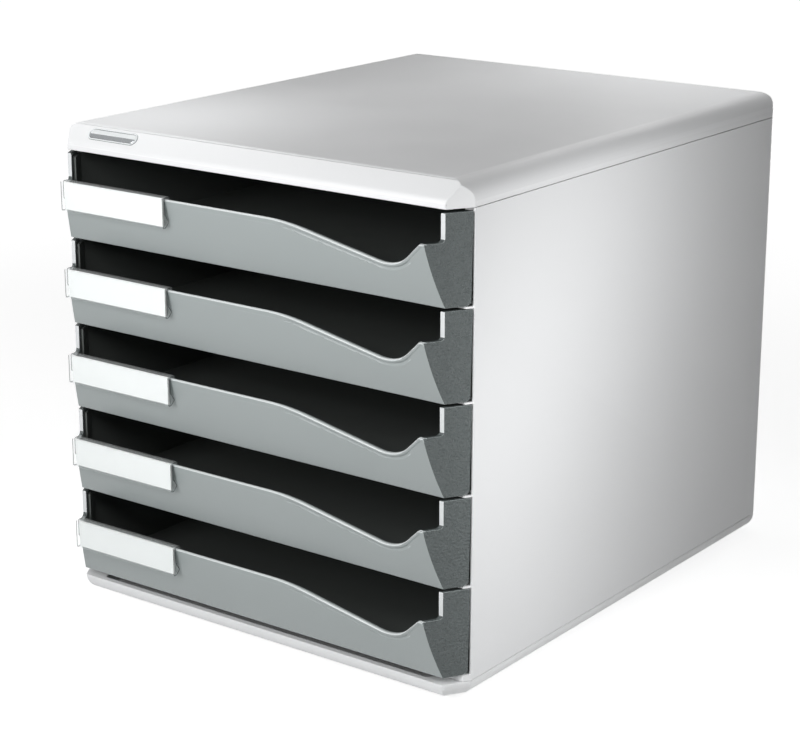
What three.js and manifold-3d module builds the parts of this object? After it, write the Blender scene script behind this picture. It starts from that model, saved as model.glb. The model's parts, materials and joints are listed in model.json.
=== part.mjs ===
// Desktop file drawer: a housing of snapped panels with five drawers that slide on moulded ledges.
// Millimetres, +Z up, drawers open towards -Y. The origin is on the desk, under the middle of the unit.

import * as THREE from 'three';
import { mergeVertices } from 'three/addons/utils/BufferGeometryUtils.js';
import Module from 'manifold-3d';

const wasm = await Module();
wasm.setup();

// Whole unit. Depth is from the cover's front lip to the rear face. The height follows from the drawers.
const HOUSING_WIDTH = 285;
const HOUSING_DEPTH = 341;
const DRAWER_COUNT = 5;
const CLEARANCE = 0.3;

// Front corners, cut at an angle in plan over the full height
const CORNER_WIDTH = 8.7;
const CORNER_DEPTH = 14.1;
const REAR_CORNER_RADIUS = 5;

// Top cover
const COVER_HEIGHT = 15;
const COVER_WALL = 2.2;
const COVER_EDGE_RADIUS = 12;
const COVER_REAR_RADIUS = 4;
const COVER_LIP_HEIGHT = 4.4;
const COVER_SLOPE_DEPTH = 10;
const COVER_CREASE_RADIUS = 3;
const COVER_LIP_BEND_RADIUS = 5;
const COVER_RIB_COUNT = 4;
const COVER_RIB_HEIGHT = 3.5;
const COVER_RIB_WIDTH = 1.8;

// Base tray
const BASE_HEIGHT = 9.7;
const BASE_EDGE_RADIUS = 9.4;
const BASE_CORNER_RADIUS = 3;
const BASE_RIM = 4;
const BASE_DECK_WIDTH = 20.7;
const BASE_RECESS_DEPTH = 5.4;

// Side panels, thinned along their front edge, and the ledges moulded on them
const PANEL_THICKNESS = 3.6;
const PANEL_EDGE_THICKNESS = 1.2;
const PANEL_EDGE_DEPTH = 8;
const TONGUE_HEIGHT = 3;
const LEDGE_REACH = 17;
const LEDGE_THICKNESS = 2.2;
const LOW_LEDGE_THICKNESS = 3.7;
const LEDGE_FRONT = 10;
const LEDGE_NOSE_THICKNESS = 1.1;
const LEDGE_NOSE_LENGTH = 10;
const LEDGE_REAR_MARGIN = 14;

// Back panel
const BACK_THICKNESS = 2.4;
const BACK_FLANGE_DEPTH = 6;
const BACK_FLANGE_THICKNESS = 1.8;

// Rubber feet
const FOOT_HEIGHT = 3;
const FOOT_RADIUS = 7;
const FOOT_EDGE_RADIUS = 1;
const FOOT_SEAT_DEPTH = 1.2;
const FOOT_INSET_SIDE = 32;
const FOOT_INSET_END = 36;

// Drawers, measured from each drawer's underside
const DRAWER_HEIGHT = 49.8;
const DRAWER_GAP = 1.8;
const SIDE_PLAY = 0.8;
const TRAY_WALL = 1.8;
const TRAY_TOP_DROP = 2.5;
const TRAY_FRONT_HEIGHT = 18;
const TRAY_SHOULDER = 2.5;
const TRAY_REAR_PLAY = 6;
const TRAY_REAR_RADIUS = 8;
const TRAY_FLOOR_RADIUS = 3;

// Stops that keep a drawer from being pulled out by mistake
const STOP_LENGTH = 4;
const STOP_WIDTH = 6;
const STOP_HEIGHT = 1;
const STOP_SETBACK = 40;

// Slanted face, which swells a little between its foot and its top, and the cheeks beside it
const FACE_HEIGHT = 34.5;
const FACE_LEAN = 10.2;
const FACE_THICKNESS = 2.4;
const FACE_SWELL = 0.8;
const CHEEK_WIDTH = 3;
const CHEEK_TOP_REAR = 13.4;
const CHEEK_LOW_REAR = 12.6;
const CHEEK_CHAMFER_RUN = 2.4;
const CHEEK_CHAMFER_RISE = 1.6;
const CHEEK_NOTCH_RADIUS = 2.2;

// Wave of the face's top edge: a long shoulder, a straight fall, a finger dip and a steep rise to a tip.
// The three corners are where the straight stretches would cross, and each is rounded. Their places are
// measured from the right front corner.
const SHOULDER_INSET = 97.4;
const SHOULDER_RADIUS = 130;
const DIP_INSET = 26.2;
const DIP_DEPTH = 15.5;
const DIP_RADIUS = 21.5;
const TIP_INSET = 9;
const TIP_RADIUS = 2;
const LIP_RADIUS = 1.1;
const LIP_PROUD = 0.4;

// Clear label holder, hooked over the left of the leaning face, with an upright pocket for the card. Below
// the hook its rear leg bulges out until it rests on the face.
const HOLDER_INSET = 6.8;
const HOLDER_LENGTH = 78.2;
const HOLDER_WALL = 0.8;
const HOLDER_RISE = 0.6;
const HOLDER_DROP = 15.4;
const HOLDER_HOOK = 6;
const HOLDER_BULGE_TOP = 7.3;
const HOLDER_BULGE_RISE = 2.7;
const HOLDER_BEND_RADIUS = 0.9;
const CARD_THICKNESS = 0.5;
const CARD_RIGHT_INSET = 0.4;
const CARD_LEFT_INSET = 1.7;

// Fineness of round stretches, and the overrun of a cut past the face that it opens
const ARC_STEPS = 6;
const EDGE_STEPS = 8;
const LIP_SIDES = 8;
const SWELL_STEPS = 8;
const FOOT_SIDES = 28;
const LEAST_RADIUS = 0.4;
const OVERRUN = 2;

// Sizes that follow from the ones above
const HALF_WIDTH = HOUSING_WIDTH / 2;
const FRONT_HALF = HALF_WIDTH - CORNER_WIDTH;
const CORNER_SLOPE = CORNER_WIDTH / CORNER_DEPTH;
const BASE_SEAM = FOOT_HEIGHT + BASE_HEIGHT;
const LOWEST_DRAWER = BASE_SEAM + CLEARANCE + LOW_LEDGE_THICKNESS + CLEARANCE;
const DRAWER_PITCH = DRAWER_HEIGHT + DRAWER_GAP;
const COVER_SEAM = LOWEST_DRAWER + DRAWER_COUNT * DRAWER_PITCH;
const HOUSING_HEIGHT = COVER_SEAM + COVER_HEIGHT;
const PANEL_INNER = HALF_WIDTH - PANEL_THICKNESS;
const TONGUE_THICKNESS = PANEL_THICKNESS - COVER_WALL - CLEARANCE;
const LEDGE_NOSE_END = LEDGE_FRONT + LEDGE_NOSE_LENGTH;
const LEAN_ANGLE = Math.atan(FACE_LEAN / FACE_HEIGHT);
const LEAN_STRETCH = 1 / Math.cos(LEAN_ANGLE);
const FACE_LENGTH = FACE_HEIGHT * LEAN_STRETCH;
const TRAY_HALF = PANEL_INNER - SIDE_PLAY;
const TRAY_REAR = HOUSING_DEPTH - BACK_THICKNESS - BACK_FLANGE_DEPTH - TRAY_REAR_PLAY;
const TRAY_TOP = DRAWER_HEIGHT - TRAY_TOP_DROP;
const TRAY_FRONT = (FACE_THICKNESS + CLEARANCE) * LEAN_STRETCH;
const HOLDER_LEFT = HOLDER_INSET - FRONT_HALF;
const HOLDER_RIGHT = HOLDER_LEFT + HOLDER_LENGTH;
const HOLDER_FOOT = FACE_HEIGHT - HOLDER_DROP;
const HOLDER_LEG = FACE_LEAN + LIP_PROUD + HOLDER_WALL / 2;
const HOLDER_FRONT = HOLDER_LEG + HOLDER_WALL + 2 * CLEARANCE + CARD_THICKNESS;
const FRONT_OVERHANG = HOLDER_FRONT + HOLDER_WALL / 2;

function material(name, color, roughness, extra = {}) {
  return new THREE.MeshStandardMaterial({ name, color, roughness, metalness: 0, ...extra });
}

const housingWhite = material('housing white', 0xe6e7e8, 0.45);
const trayCharcoal = material('tray charcoal', 0x2f3231, 0.6);
const faceSilver = material('face silver grey', 0xa3abab, 0.4);
const clearPlastic = material('clear plastic', 0xdfe6e8, 0.1, { transparent: true, opacity: 0.35 });
const cardPaper = material('card paper', 0xfbfbfa, 0.85);
const footRubber = material('foot rubber', 0x4b4d4f, 0.9);

// Outlines. Corners are [u, v, radius], anticlockwise, and the outline can be moved inwards as a whole.

function crossing(a, b) {
  const along = b.from.clone().sub(a.from).cross(b.way) / a.way.cross(b.way);
  return a.from.clone().addScaledVector(a.way, along);
}

function roundCorner(point, before, after, radius) {
  const turn = Math.atan2(before.cross(after), before.dot(after));
  const left = new THREE.Vector2(-before.y, before.x);
  const start = point.clone().addScaledVector(before, -radius * Math.tan(Math.abs(turn) / 2));
  const centre = start.clone().addScaledVector(left, radius * Math.sign(turn));
  return Array.from({ length: ARC_STEPS + 1 }, (_, step) =>
    start.clone().rotateAround(centre, turn * step / ARC_STEPS));
}

function outline(corners, inset = 0) {
  const edges = corners.map(([u, v], index) => {
    const from = new THREE.Vector2(u, v);
    const [nextU, nextV] = corners[(index + 1) % corners.length];
    const way = new THREE.Vector2(nextU, nextV).sub(from).normalize();
    return { way, from: from.addScaledVector(new THREE.Vector2(-way.y, way.x), inset) };
  });
  return corners.flatMap(([, , radius = 0], index) => {
    const before = edges.at(index - 1);
    const after = edges[index];
    const point = crossing(before, after);
    if (radius === 0) return [point];
    const growth = before.way.cross(after.way) > 0 ? -inset : inset;
    return roundCorner(point, before.way, after.way, Math.max(radius + growth, LEAST_RADIUS));
  });
}

// An open line whose inner corners are rounded
function bentLine(corners, radius) {
  const points = corners.map(([u, v]) => new THREE.Vector2(u, v));
  const ways = points.slice(1).map((point, index) => point.clone().sub(points[index]).normalize());
  const bends = points.slice(1, -1).flatMap((point, index) =>
    roundCorner(point, ways[index], ways[index + 1], radius));
  return [points[0], ...bends, points.at(-1)];
}

// A bent strip of even thickness: its middle line, offset to both sides
function strip(middleLine, thickness) {
  const side = (sign) => middleLine.map((point, index) => {
    const before = middleLine[Math.max(index - 1, 0)];
    const after = middleLine[Math.min(index + 1, middleLine.length - 1)];
    const way = after.clone().sub(before).normalize();
    return point.clone().addScaledVector(new THREE.Vector2(-way.y, way.x), sign * thickness / 2);
  });
  return [...side(-1), ...side(1).reverse()];
}

// Solids, for cutting and joining

function solid(geometry) {
  geometry.deleteAttribute('normal');
  geometry.deleteAttribute('uv');
  const merged = mergeVertices(geometry);
  return new wasm.Manifold(new wasm.Mesh({
    numProp: 3,
    vertProperties: new Float32Array(merged.attributes.position.array),
    triVerts: new Uint32Array(merged.index.array),
  }));
}

function joined(parts) {
  return parts.reduce((whole, part) => whole.add(part));
}

function geometryOf(shape) {
  const mesh = shape.getMesh();
  const geometry = new THREE.BufferGeometry();
  geometry.setAttribute('position', new THREE.Float32BufferAttribute(mesh.vertProperties, 3));
  geometry.setIndex(new THREE.Uint32BufferAttribute(mesh.triVerts, 1));
  return geometry;
}

// Prisms: an outline drawn in two axes and extruded along the third

function prism(points, length) {
  return new THREE.ExtrudeGeometry(new THREE.Shape(points), { depth: length, bevelEnabled: false });
}

function alongX(points, start, end) {
  const drawnInYZ = new THREE.Matrix4().makeBasis(
    new THREE.Vector3(0, 1, 0), new THREE.Vector3(0, 0, 1), new THREE.Vector3(1, 0, 0));
  return solid(prism(points, end - start).applyMatrix4(drawnInYZ).translate(start, 0, 0));
}

function alongY(points, start, end) {
  return solid(prism(points, end - start).rotateX(Math.PI / 2).translate(0, end, 0));
}

function alongZ(points, start, end) {
  return solid(prism(points, end - start).translate(0, 0, start));
}

function box(...spans) {
  const size = spans.map(([from, to]) => to - from);
  const middle = spans.map(([from, to]) => (from + to) / 2);
  return solid(new THREE.BoxGeometry(...size).translate(...middle));
}

// Rings of equally many points, joined in order into a closed skin
function loft(rings) {
  const count = rings[0].length;
  const last = (rings.length - 1) * count;
  const faces = [];
  for (let ring = 0; ring < last; ring += count) {
    for (let index = 0; index < count; index += 1) {
      const next = (index + 1) % count;
      const [a, b, c, d] = [ring + index, ring + next, ring + count + index, ring + count + next];
      faces.push(a, b, d, a, d, c);
    }
  }
  for (let index = 1; index < count - 1; index += 1) {
    faces.push(0, index + 1, index);
    faces.push(last, last + index, last + index + 1);
  }
  const geometry = new THREE.BufferGeometry().setFromPoints(rings.flat());
  return solid(geometry.setIndex(faces));
}

function mirrored(shape) {
  const geometry = geometryOf(shape).scale(-1, 1, 1);
  const { array } = geometry.index;
  for (let corner = 0; corner < array.length; corner += 3) {
    [array[corner], array[corner + 1]] = [array[corner + 1], array[corner]];
  }
  return solid(geometry);
}

// Housing plan: a rectangle whose front corners are cut at an angle
function housingPlan(inset = 0, cornerRadius = 0) {
  return outline([
    [-FRONT_HALF, 0, cornerRadius],
    [FRONT_HALF, 0, cornerRadius],
    [HALF_WIDTH, CORNER_DEPTH, cornerRadius],
    [HALF_WIDTH, HOUSING_DEPTH, REAR_CORNER_RADIUS],
    [-HALF_WIDTH, HOUSING_DEPTH, REAR_CORNER_RADIUS],
    [-HALF_WIDTH, CORNER_DEPTH, cornerRadius],
  ], inset);
}

// Top cover: what its cross section, its long section and its plan share, hollow from below

function coverForm(inset, bottom) {
  const low = bottom - inset;
  const across = outline([
    [-HALF_WIDTH, low],
    [HALF_WIDTH, low],
    [HALF_WIDTH, HOUSING_HEIGHT, COVER_EDGE_RADIUS],
    [-HALF_WIDTH, HOUSING_HEIGHT, COVER_EDGE_RADIUS],
  ], inset);
  const lengthwise = outline([
    [0, low],
    [HOUSING_DEPTH, low],
    [HOUSING_DEPTH, HOUSING_HEIGHT, COVER_REAR_RADIUS],
    [COVER_SLOPE_DEPTH, HOUSING_HEIGHT, COVER_CREASE_RADIUS],
    [0, COVER_SEAM + COVER_LIP_HEIGHT, COVER_LIP_BEND_RADIUS],
  ], inset);
  return alongY(across, -OVERRUN, HOUSING_DEPTH + OVERRUN)
    .intersect(alongX(lengthwise, -HALF_WIDTH - OVERRUN, HALF_WIDTH + OVERRUN))
    .intersect(alongZ(housingPlan(inset), bottom, HOUSING_HEIGHT + OVERRUN));
}

function coverRibs() {
  const half = HALF_WIDTH - COVER_EDGE_RADIUS;
  const top = HOUSING_HEIGHT - COVER_WALL / 2;
  return Array.from({ length: COVER_RIB_COUNT }, (_, index) => {
    const middle = HOUSING_DEPTH * (index + 1) / (COVER_RIB_COUNT + 1);
    const run = [middle - COVER_RIB_WIDTH / 2, middle + COVER_RIB_WIDTH / 2];
    return box([-half, half], run, [top - COVER_WALL / 2 - COVER_RIB_HEIGHT, top]);
  });
}

function topCover() {
  const shell = coverForm(0, COVER_SEAM).subtract(coverForm(COVER_WALL, COVER_SEAM - OVERRUN));
  return joined([shell, ...coverRibs()]);
}

// Base tray: a pan with a rounded lower edge, wide decks at the sides and a recessed middle

function baseBlank() {
  const levels = Array.from({ length: EDGE_STEPS + 1 }, (_, step) => {
    const angle = Math.PI / 2 * step / EDGE_STEPS;
    const inset = BASE_EDGE_RADIUS * (1 - Math.sin(angle));
    return [inset, FOOT_HEIGHT + BASE_EDGE_RADIUS * (1 - Math.cos(angle))];
  });
  return loft([...levels, [0, BASE_SEAM]].map(([inset, z]) =>
    housingPlan(inset, BASE_CORNER_RADIUS).map(({ x, y }) => new THREE.Vector3(x, y, z))));
}

function tongue(play) {
  const front = CORNER_DEPTH + PANEL_EDGE_DEPTH + PANEL_THICKNESS;
  const rear = HOUSING_DEPTH - REAR_CORNER_RADIUS - PANEL_THICKNESS;
  return box(
    [PANEL_INNER - play, PANEL_INNER + TONGUE_THICKNESS + play],
    [front - play, rear + play],
    [BASE_SEAM - TONGUE_HEIGHT - play, COVER_SEAM + TONGUE_HEIGHT],
  );
}

function baseRecess() {
  const half = HALF_WIDTH - BASE_DECK_WIDTH;
  return alongZ(outline([
    [-half, BASE_RIM, BASE_CORNER_RADIUS],
    [half, BASE_RIM, BASE_CORNER_RADIUS],
    [half, HOUSING_DEPTH - BASE_RIM, BASE_CORNER_RADIUS],
    [-half, HOUSING_DEPTH - BASE_RIM, BASE_CORNER_RADIUS],
  ]), BASE_SEAM - BASE_RECESS_DEPTH, BASE_SEAM + OVERRUN);
}

function footPlaces() {
  const x = HALF_WIDTH - FOOT_INSET_SIDE;
  const rear = HOUSING_DEPTH - FOOT_INSET_END;
  return [
    ['foot_front_left', -x, FOOT_INSET_END],
    ['foot_front_right', x, FOOT_INSET_END],
    ['foot_rear_left', -x, rear],
    ['foot_rear_right', x, rear],
  ];
}

function footSeat(x, y) {
  const depth = FOOT_SEAT_DEPTH + OVERRUN;
  const radius = FOOT_RADIUS + CLEARANCE;
  const seat = new THREE.CylinderGeometry(radius, radius, depth, FOOT_SIDES).rotateX(Math.PI / 2);
  return solid(seat.translate(x, y, FOOT_HEIGHT + FOOT_SEAT_DEPTH - depth / 2));
}

function baseTray() {
  const groove = tongue(CLEARANCE);
  const seats = footPlaces().map(([, x, y]) => footSeat(x, y));
  return baseBlank().subtract(joined([baseRecess(), groove, mirrored(groove), ...seats]));
}

function rubberFoot() {
  const top = FOOT_HEIGHT + FOOT_SEAT_DEPTH - CLEARANCE;
  const rounded = Array.from({ length: ARC_STEPS + 1 }, (_, step) => {
    const angle = Math.PI / 2 * step / ARC_STEPS;
    const radius = FOOT_RADIUS - FOOT_EDGE_RADIUS * (1 - Math.sin(angle));
    return new THREE.Vector2(radius, FOOT_EDGE_RADIUS * (1 - Math.cos(angle)));
  });
  const profile = [
    new THREE.Vector2(0, 0),
    ...rounded,
    new THREE.Vector2(FOOT_RADIUS, top),
    new THREE.Vector2(0, top),
  ];
  return solid(new THREE.LatheGeometry(profile, FOOT_SIDES).rotateX(Math.PI / 2));
}

// Side panels: a plate with tongues into the cover and the base, and a ledge for each drawer. The thin front
// edge leaves a shadow gap behind the drawers' cheeks.

function panelPlate() {
  const height = [BASE_SEAM + CLEARANCE, COVER_SEAM - CLEARANCE];
  const plate = box([PANEL_INNER, HALF_WIDTH], [CORNER_DEPTH, HOUSING_DEPTH], height);
  const besideEdge = box(
    [PANEL_INNER, HALF_WIDTH - PANEL_EDGE_THICKNESS],
    [CORNER_DEPTH, CORNER_DEPTH + PANEL_EDGE_DEPTH],
    height,
  );
  const plan = alongZ(housingPlan(), BASE_SEAM, COVER_SEAM);
  return plate.intersect(plan).subtract(besideEdge).add(tongue(0));
}

function ledgeShelf(top, thickness) {
  const rear = HOUSING_DEPTH - LEDGE_REAR_MARGIN;
  const reach = [PANEL_INNER - LEDGE_REACH, HALF_WIDTH - PANEL_THICKNESS / 2];
  return box(reach, [LEDGE_NOSE_END, rear], [top - thickness, top]);
}

// Front end of a ledge. It passes between two drawers and ends flush with the angled corner.
function ledgeNose(top, thickness) {
  const inner = PANEL_INNER - LEDGE_REACH;
  const plan = outline([
    [inner, LEDGE_FRONT],
    [FRONT_HALF + CORNER_SLOPE * LEDGE_FRONT, LEDGE_FRONT],
    [HALF_WIDTH, CORNER_DEPTH],
    [HALF_WIDTH, LEDGE_NOSE_END + OVERRUN],
    [inner, LEDGE_NOSE_END + OVERRUN],
  ]);
  return alongZ(plan, top - thickness, top);
}

// Block under a ledge that catches the stop on the drawer below it
function ledgeStop(underside) {
  const outer = PANEL_INNER - SIDE_PLAY;
  return box(
    [outer - STOP_WIDTH, outer],
    [LEDGE_NOSE_END, LEDGE_NOSE_END + STOP_LENGTH],
    [underside - STOP_HEIGHT, underside + LEDGE_THICKNESS / 2],
  );
}

function ledge(index) {
  const top = LOWEST_DRAWER + index * DRAWER_PITCH - CLEARANCE;
  if (index === 0) {
    return ledgeShelf(top, LOW_LEDGE_THICKNESS).add(ledgeNose(top, LOW_LEDGE_THICKNESS));
  }
  const shelf = ledgeShelf(top, LEDGE_THICKNESS).add(ledgeStop(top - LEDGE_THICKNESS));
  return index === DRAWER_COUNT ? shelf : shelf.add(ledgeNose(top, LEDGE_NOSE_THICKNESS));
}

function rightPanel() {
  const ledges = Array.from({ length: DRAWER_COUNT + 1 }, (_, index) => ledge(index));
  return joined([panelPlate(), ...ledges]);
}

// Back panel: a plate between the side panels, stiffened by a flange all round
function backPanel() {
  const half = PANEL_INNER - CLEARANCE;
  const height = [BASE_SEAM + CLEARANCE, COVER_SEAM - CLEARANCE];
  const flange = BACK_FLANGE_THICKNESS;
  const front = HOUSING_DEPTH - BACK_THICKNESS;
  const blank = box([-half, half], [front - BACK_FLANGE_DEPTH, HOUSING_DEPTH], height);
  const hollow = box(
    [flange - half, half - flange],
    [front - BACK_FLANGE_DEPTH - OVERRUN, front],
    [height[0] + flange, height[1] - flange],
  );
  return blank.subtract(hollow);
}

// Drawer tray: leaning front wall, angled front corners, upright sides, open on top

function trayForm(inset, top) {
  const cheekInner = FRONT_HALF - CHEEK_WIDTH - CLEARANCE * Math.hypot(1, CORNER_SLOPE);
  const cheekEnd = (TRAY_HALF - cheekInner) / CORNER_SLOPE;
  const nose = cheekInner - CORNER_SLOPE * FACE_LEAN;
  const plan = outline([
    [-nose, -FACE_LEAN],
    [nose, -FACE_LEAN],
    [TRAY_HALF, cheekEnd],
    [TRAY_HALF, TRAY_REAR, TRAY_REAR_RADIUS],
    [-TRAY_HALF, TRAY_REAR, TRAY_REAR_RADIUS],
    [-TRAY_HALF, cheekEnd],
  ], inset);
  const high = top + inset;
  const bend = TRAY_FLOOR_RADIUS + TRAY_WALL;
  const lengthwise = outline([
    [TRAY_FRONT, 0, bend],
    [TRAY_REAR, 0, bend],
    [TRAY_REAR, high],
    [TRAY_FRONT - Math.tan(LEAN_ANGLE) * high, high],
  ], inset);
  return alongZ(plan, 0, top).intersect(alongX(lengthwise, -TRAY_HALF, TRAY_HALF));
}

// Nub on top of a side wall, which meets the block under the ledge above when the drawer is pulled out
function trayStop() {
  const rear = TRAY_REAR - STOP_SETBACK;
  const top = DRAWER_PITCH - CLEARANCE - LEDGE_THICKNESS - CLEARANCE;
  return box([TRAY_HALF - TRAY_WALL, TRAY_HALF], [rear - STOP_LENGTH, rear], [TRAY_TOP - STOP_HEIGHT, top]);
}

function drawerTray() {
  const shell = trayForm(0, TRAY_TOP).subtract(trayForm(TRAY_WALL, TRAY_TOP + OVERRUN));
  const aboveFront = box(
    [-TRAY_HALF, TRAY_HALF],
    [-FACE_LEAN - OVERRUN, TRAY_SHOULDER],
    [TRAY_FRONT_HEIGHT, TRAY_TOP + OVERRUN],
  );
  const stop = trayStop();
  return joined([shell.subtract(aboveFront), stop, mirrored(stop)]);
}

// Drawer front. On the slanted face, x runs to the right, y up the slant and z out of the face.

function ontoFace(shape) {
  const right = new THREE.Vector3(1, 0, 0);
  const up = new THREE.Vector3(0, -Math.sin(LEAN_ANGLE), Math.cos(LEAN_ANGLE));
  const out = new THREE.Vector3(0, -Math.cos(LEAN_ANGLE), -Math.sin(LEAN_ANGLE));
  return solid(geometryOf(shape).applyMatrix4(new THREE.Matrix4().makeBasis(right, up, out)));
}

// The same for one point of a section: how far up and out of the slanted face it is becomes its y and z
function leaned(up, out) {
  return [
    -up * Math.sin(LEAN_ANGLE) - out * Math.cos(LEAN_ANGLE),
    up * Math.cos(LEAN_ANGLE) - out * Math.sin(LEAN_ANGLE),
  ];
}

// How far the face stands out of its plane, at a height up the slant
function swell(up) {
  const share = Math.min(Math.max(up / FACE_LENGTH, 0), 1);
  return FACE_SWELL * (1 - (2 * share - 1) ** 2);
}

// The swollen face in section, from its foot to its top, moved out of the face by an offset
function swellLine(offset = 0) {
  return Array.from({ length: SWELL_STEPS + 1 }, (_, step) => {
    const up = FACE_LENGTH * step / SWELL_STEPS;
    return new THREE.Vector2(up, swell(up) + offset);
  });
}

// Half the width between the angled corners, at a depth behind the front lip
function cornerHalf(depth) {
  return FRONT_HALF + CORNER_SLOPE * depth;
}

// What lies between the angled corners, which the drawer front keeps to as it leans forward
function betweenCorners(shape) {
  const front = -HOUSING_DEPTH / 4;
  const plan = outline([
    [-cornerHalf(front), front],
    [cornerHalf(front), front],
    [cornerHalf(CORNER_DEPTH), CORNER_DEPTH],
    [-cornerHalf(CORNER_DEPTH), CORNER_DEPTH],
  ]);
  return shape.intersect(alongZ(plan, 0, DRAWER_HEIGHT));
}

// Outline of the face up to the middle of the bead that runs along the wave
function faceOutline() {
  const reach = FRONT_HALF + LIP_RADIUS;
  const dip = FACE_LENGTH - DIP_DEPTH * LEAN_STRETCH;
  return outline([
    [-reach, -LIP_RADIUS - OVERRUN],
    [reach, -LIP_RADIUS - OVERRUN],
    [reach, FACE_LENGTH],
    [FRONT_HALF - TIP_INSET, FACE_LENGTH, TIP_RADIUS],
    [FRONT_HALF - DIP_INSET, dip, DIP_RADIUS],
    [FRONT_HALF - SHOULDER_INSET, FACE_LENGTH, SHOULDER_RADIUS],
    [-reach, FACE_LENGTH],
  ], LIP_RADIUS);
}

// Round bead along the top edge, a ring of points at each point of the wave
function waveBead() {
  const bottomCorners = 2;
  const wave = faceOutline().slice(bottomCorners);
  return loft(wave.map((point, index) => {
    const before = wave[Math.max(index - 1, 0)];
    const after = wave[Math.min(index + 1, wave.length - 1)];
    const way = after.clone().sub(before).normalize();
    return Array.from({ length: LIP_SIDES }, (_, side) => {
      const angle = 2 * Math.PI * side / LIP_SIDES;
      const across = LIP_RADIUS * Math.cos(angle);
      const out = LIP_RADIUS * (Math.sin(angle) - 1) + LIP_PROUD + swell(point.y);
      return new THREE.Vector3(point.x - way.y * across, point.y + way.x * across, out);
    });
  }));
}

function facePlate() {
  const section = [...swellLine(), ...swellLine(-FACE_THICKNESS).reverse()];
  const bent = alongX(section, -HALF_WIDTH, HALF_WIDTH);
  return bent.intersect(alongZ(faceOutline(), -FACE_THICKNESS - OVERRUN, FACE_SWELL + OVERRUN));
}

function rightCheek() {
  const slant = swellLine().reverse().map((point) => leaned(point.x, point.y));
  const profile = outline([
    [CHEEK_LOW_REAR - CHEEK_CHAMFER_RUN, 0],
    [CHEEK_LOW_REAR, CHEEK_CHAMFER_RISE],
    [CHEEK_TOP_REAR, DRAWER_HEIGHT],
    [0, DRAWER_HEIGHT],
    [0, FACE_HEIGHT, CHEEK_NOTCH_RADIUS],
    ...slant,
  ]);
  const plan = outline([
    [cornerHalf(-FACE_LEAN) - CHEEK_WIDTH, -FACE_LEAN],
    [cornerHalf(-FACE_LEAN), -FACE_LEAN],
    [cornerHalf(CORNER_DEPTH), CORNER_DEPTH],
    [cornerHalf(CORNER_DEPTH) - CHEEK_WIDTH, CORNER_DEPTH],
  ]);
  return alongX(profile, 0, HALF_WIDTH).intersect(alongZ(plan, 0, DRAWER_HEIGHT));
}

function drawerFront() {
  const face = betweenCorners(ontoFace(facePlate().add(waveBead())));
  return joined([face, rightCheek(), mirrored(rightCheek())]);
}

// Label holder: a clear strip, drawn from its hook behind the face to the top of the pocket's front

function behindFace(up) {
  return leaned(up, -FACE_THICKNESS - CLEARANCE - HOLDER_WALL / 2);
}

function holderSection() {
  const hookTop = behindFace(FACE_LENGTH + HOLDER_RISE);
  const top = hookTop[1];
  const bulge = HOLDER_FOOT + HOLDER_BULGE_RISE;
  const out = swell(bulge * LEAN_STRETCH) + CLEARANCE + HOLDER_WALL / 2;
  const onFace = FACE_LEAN * bulge / FACE_HEIGHT + out * LEAN_STRETCH;
  return strip(bentLine([
    behindFace(FACE_LENGTH - HOLDER_HOOK),
    hookTop,
    [-HOLDER_LEG, top],
    [-HOLDER_LEG, HOLDER_FOOT + HOLDER_BULGE_TOP],
    [-onFace, bulge],
    [-onFace - HOLDER_BULGE_RISE, HOLDER_FOOT],
    [-HOLDER_FRONT, HOLDER_FOOT],
    [-HOLDER_FRONT, top],
  ], HOLDER_BEND_RADIUS), HOLDER_WALL);
}

function labelHolder() {
  const clip = alongX(holderSection(), HOLDER_LEFT, HOLDER_RIGHT);
  const besideCheek = box(
    [-FRONT_HALF, CHEEK_WIDTH + CLEARANCE - cornerHalf(-FACE_LEAN)],
    [0, FACE_LENGTH + CLEARANCE],
    [-FACE_LEAN, 0],
  );
  return clip.subtract(ontoFace(besideCheek));
}

function labelCard() {
  const back = HOLDER_LEG + HOLDER_WALL / 2 + CLEARANCE;
  return box(
    [HOLDER_LEFT + CARD_LEFT_INSET, HOLDER_RIGHT - CARD_RIGHT_INSET],
    [-back - CARD_THICKNESS, -back],
    [HOLDER_FOOT + HOLDER_WALL / 2 + CLEARANCE, behindFace(FACE_LENGTH + HOLDER_RISE)[1]],
  );
}

// Assembly

function piece(name, shape, finish) {
  const mesh = new THREE.Mesh(geometryOf(shape), finish);
  mesh.name = name;
  return mesh;
}

function housing() {
  const panel = rightPanel();
  const foot = rubberFoot();
  const feet = footPlaces().map(([name, x, y]) => {
    const mesh = piece(name, foot, footRubber);
    mesh.position.set(x, y, 0);
    return mesh;
  });
  return [
    piece('top_cover', topCover(), housingWhite),
    piece('base_tray', baseTray(), housingWhite),
    piece('right_side_panel', panel, housingWhite),
    piece('left_side_panel', mirrored(panel), housingWhite),
    piece('back_panel', backPanel(), housingWhite),
    ...feet,
  ];
}

// Drawers are counted from the top
function drawers() {
  const [tray, front, holder, card] = [drawerTray(), drawerFront(), labelHolder(), labelCard()];
  return Array.from({ length: DRAWER_COUNT }, (_, index) => {
    const name = `drawer_${index + 1}`;
    const drawer = new THREE.Group();
    drawer.position.z = LOWEST_DRAWER + (DRAWER_COUNT - 1 - index) * DRAWER_PITCH;
    return drawer.add(
      piece(`${name}_tray`, tray, trayCharcoal),
      piece(`${name}_front`, front, faceSilver),
      piece(`${name}_label_holder`, holder, clearPlastic),
      piece(`${name}_label_card`, card, cardPaper),
    );
  });
}

const unit = new THREE.Group();
unit.add(...housing(), ...drawers());
unit.position.y = -(HOUSING_DEPTH - FRONT_OVERHANG) / 2;

const part = new THREE.Group();
part.add(unit);
export default part;
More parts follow.
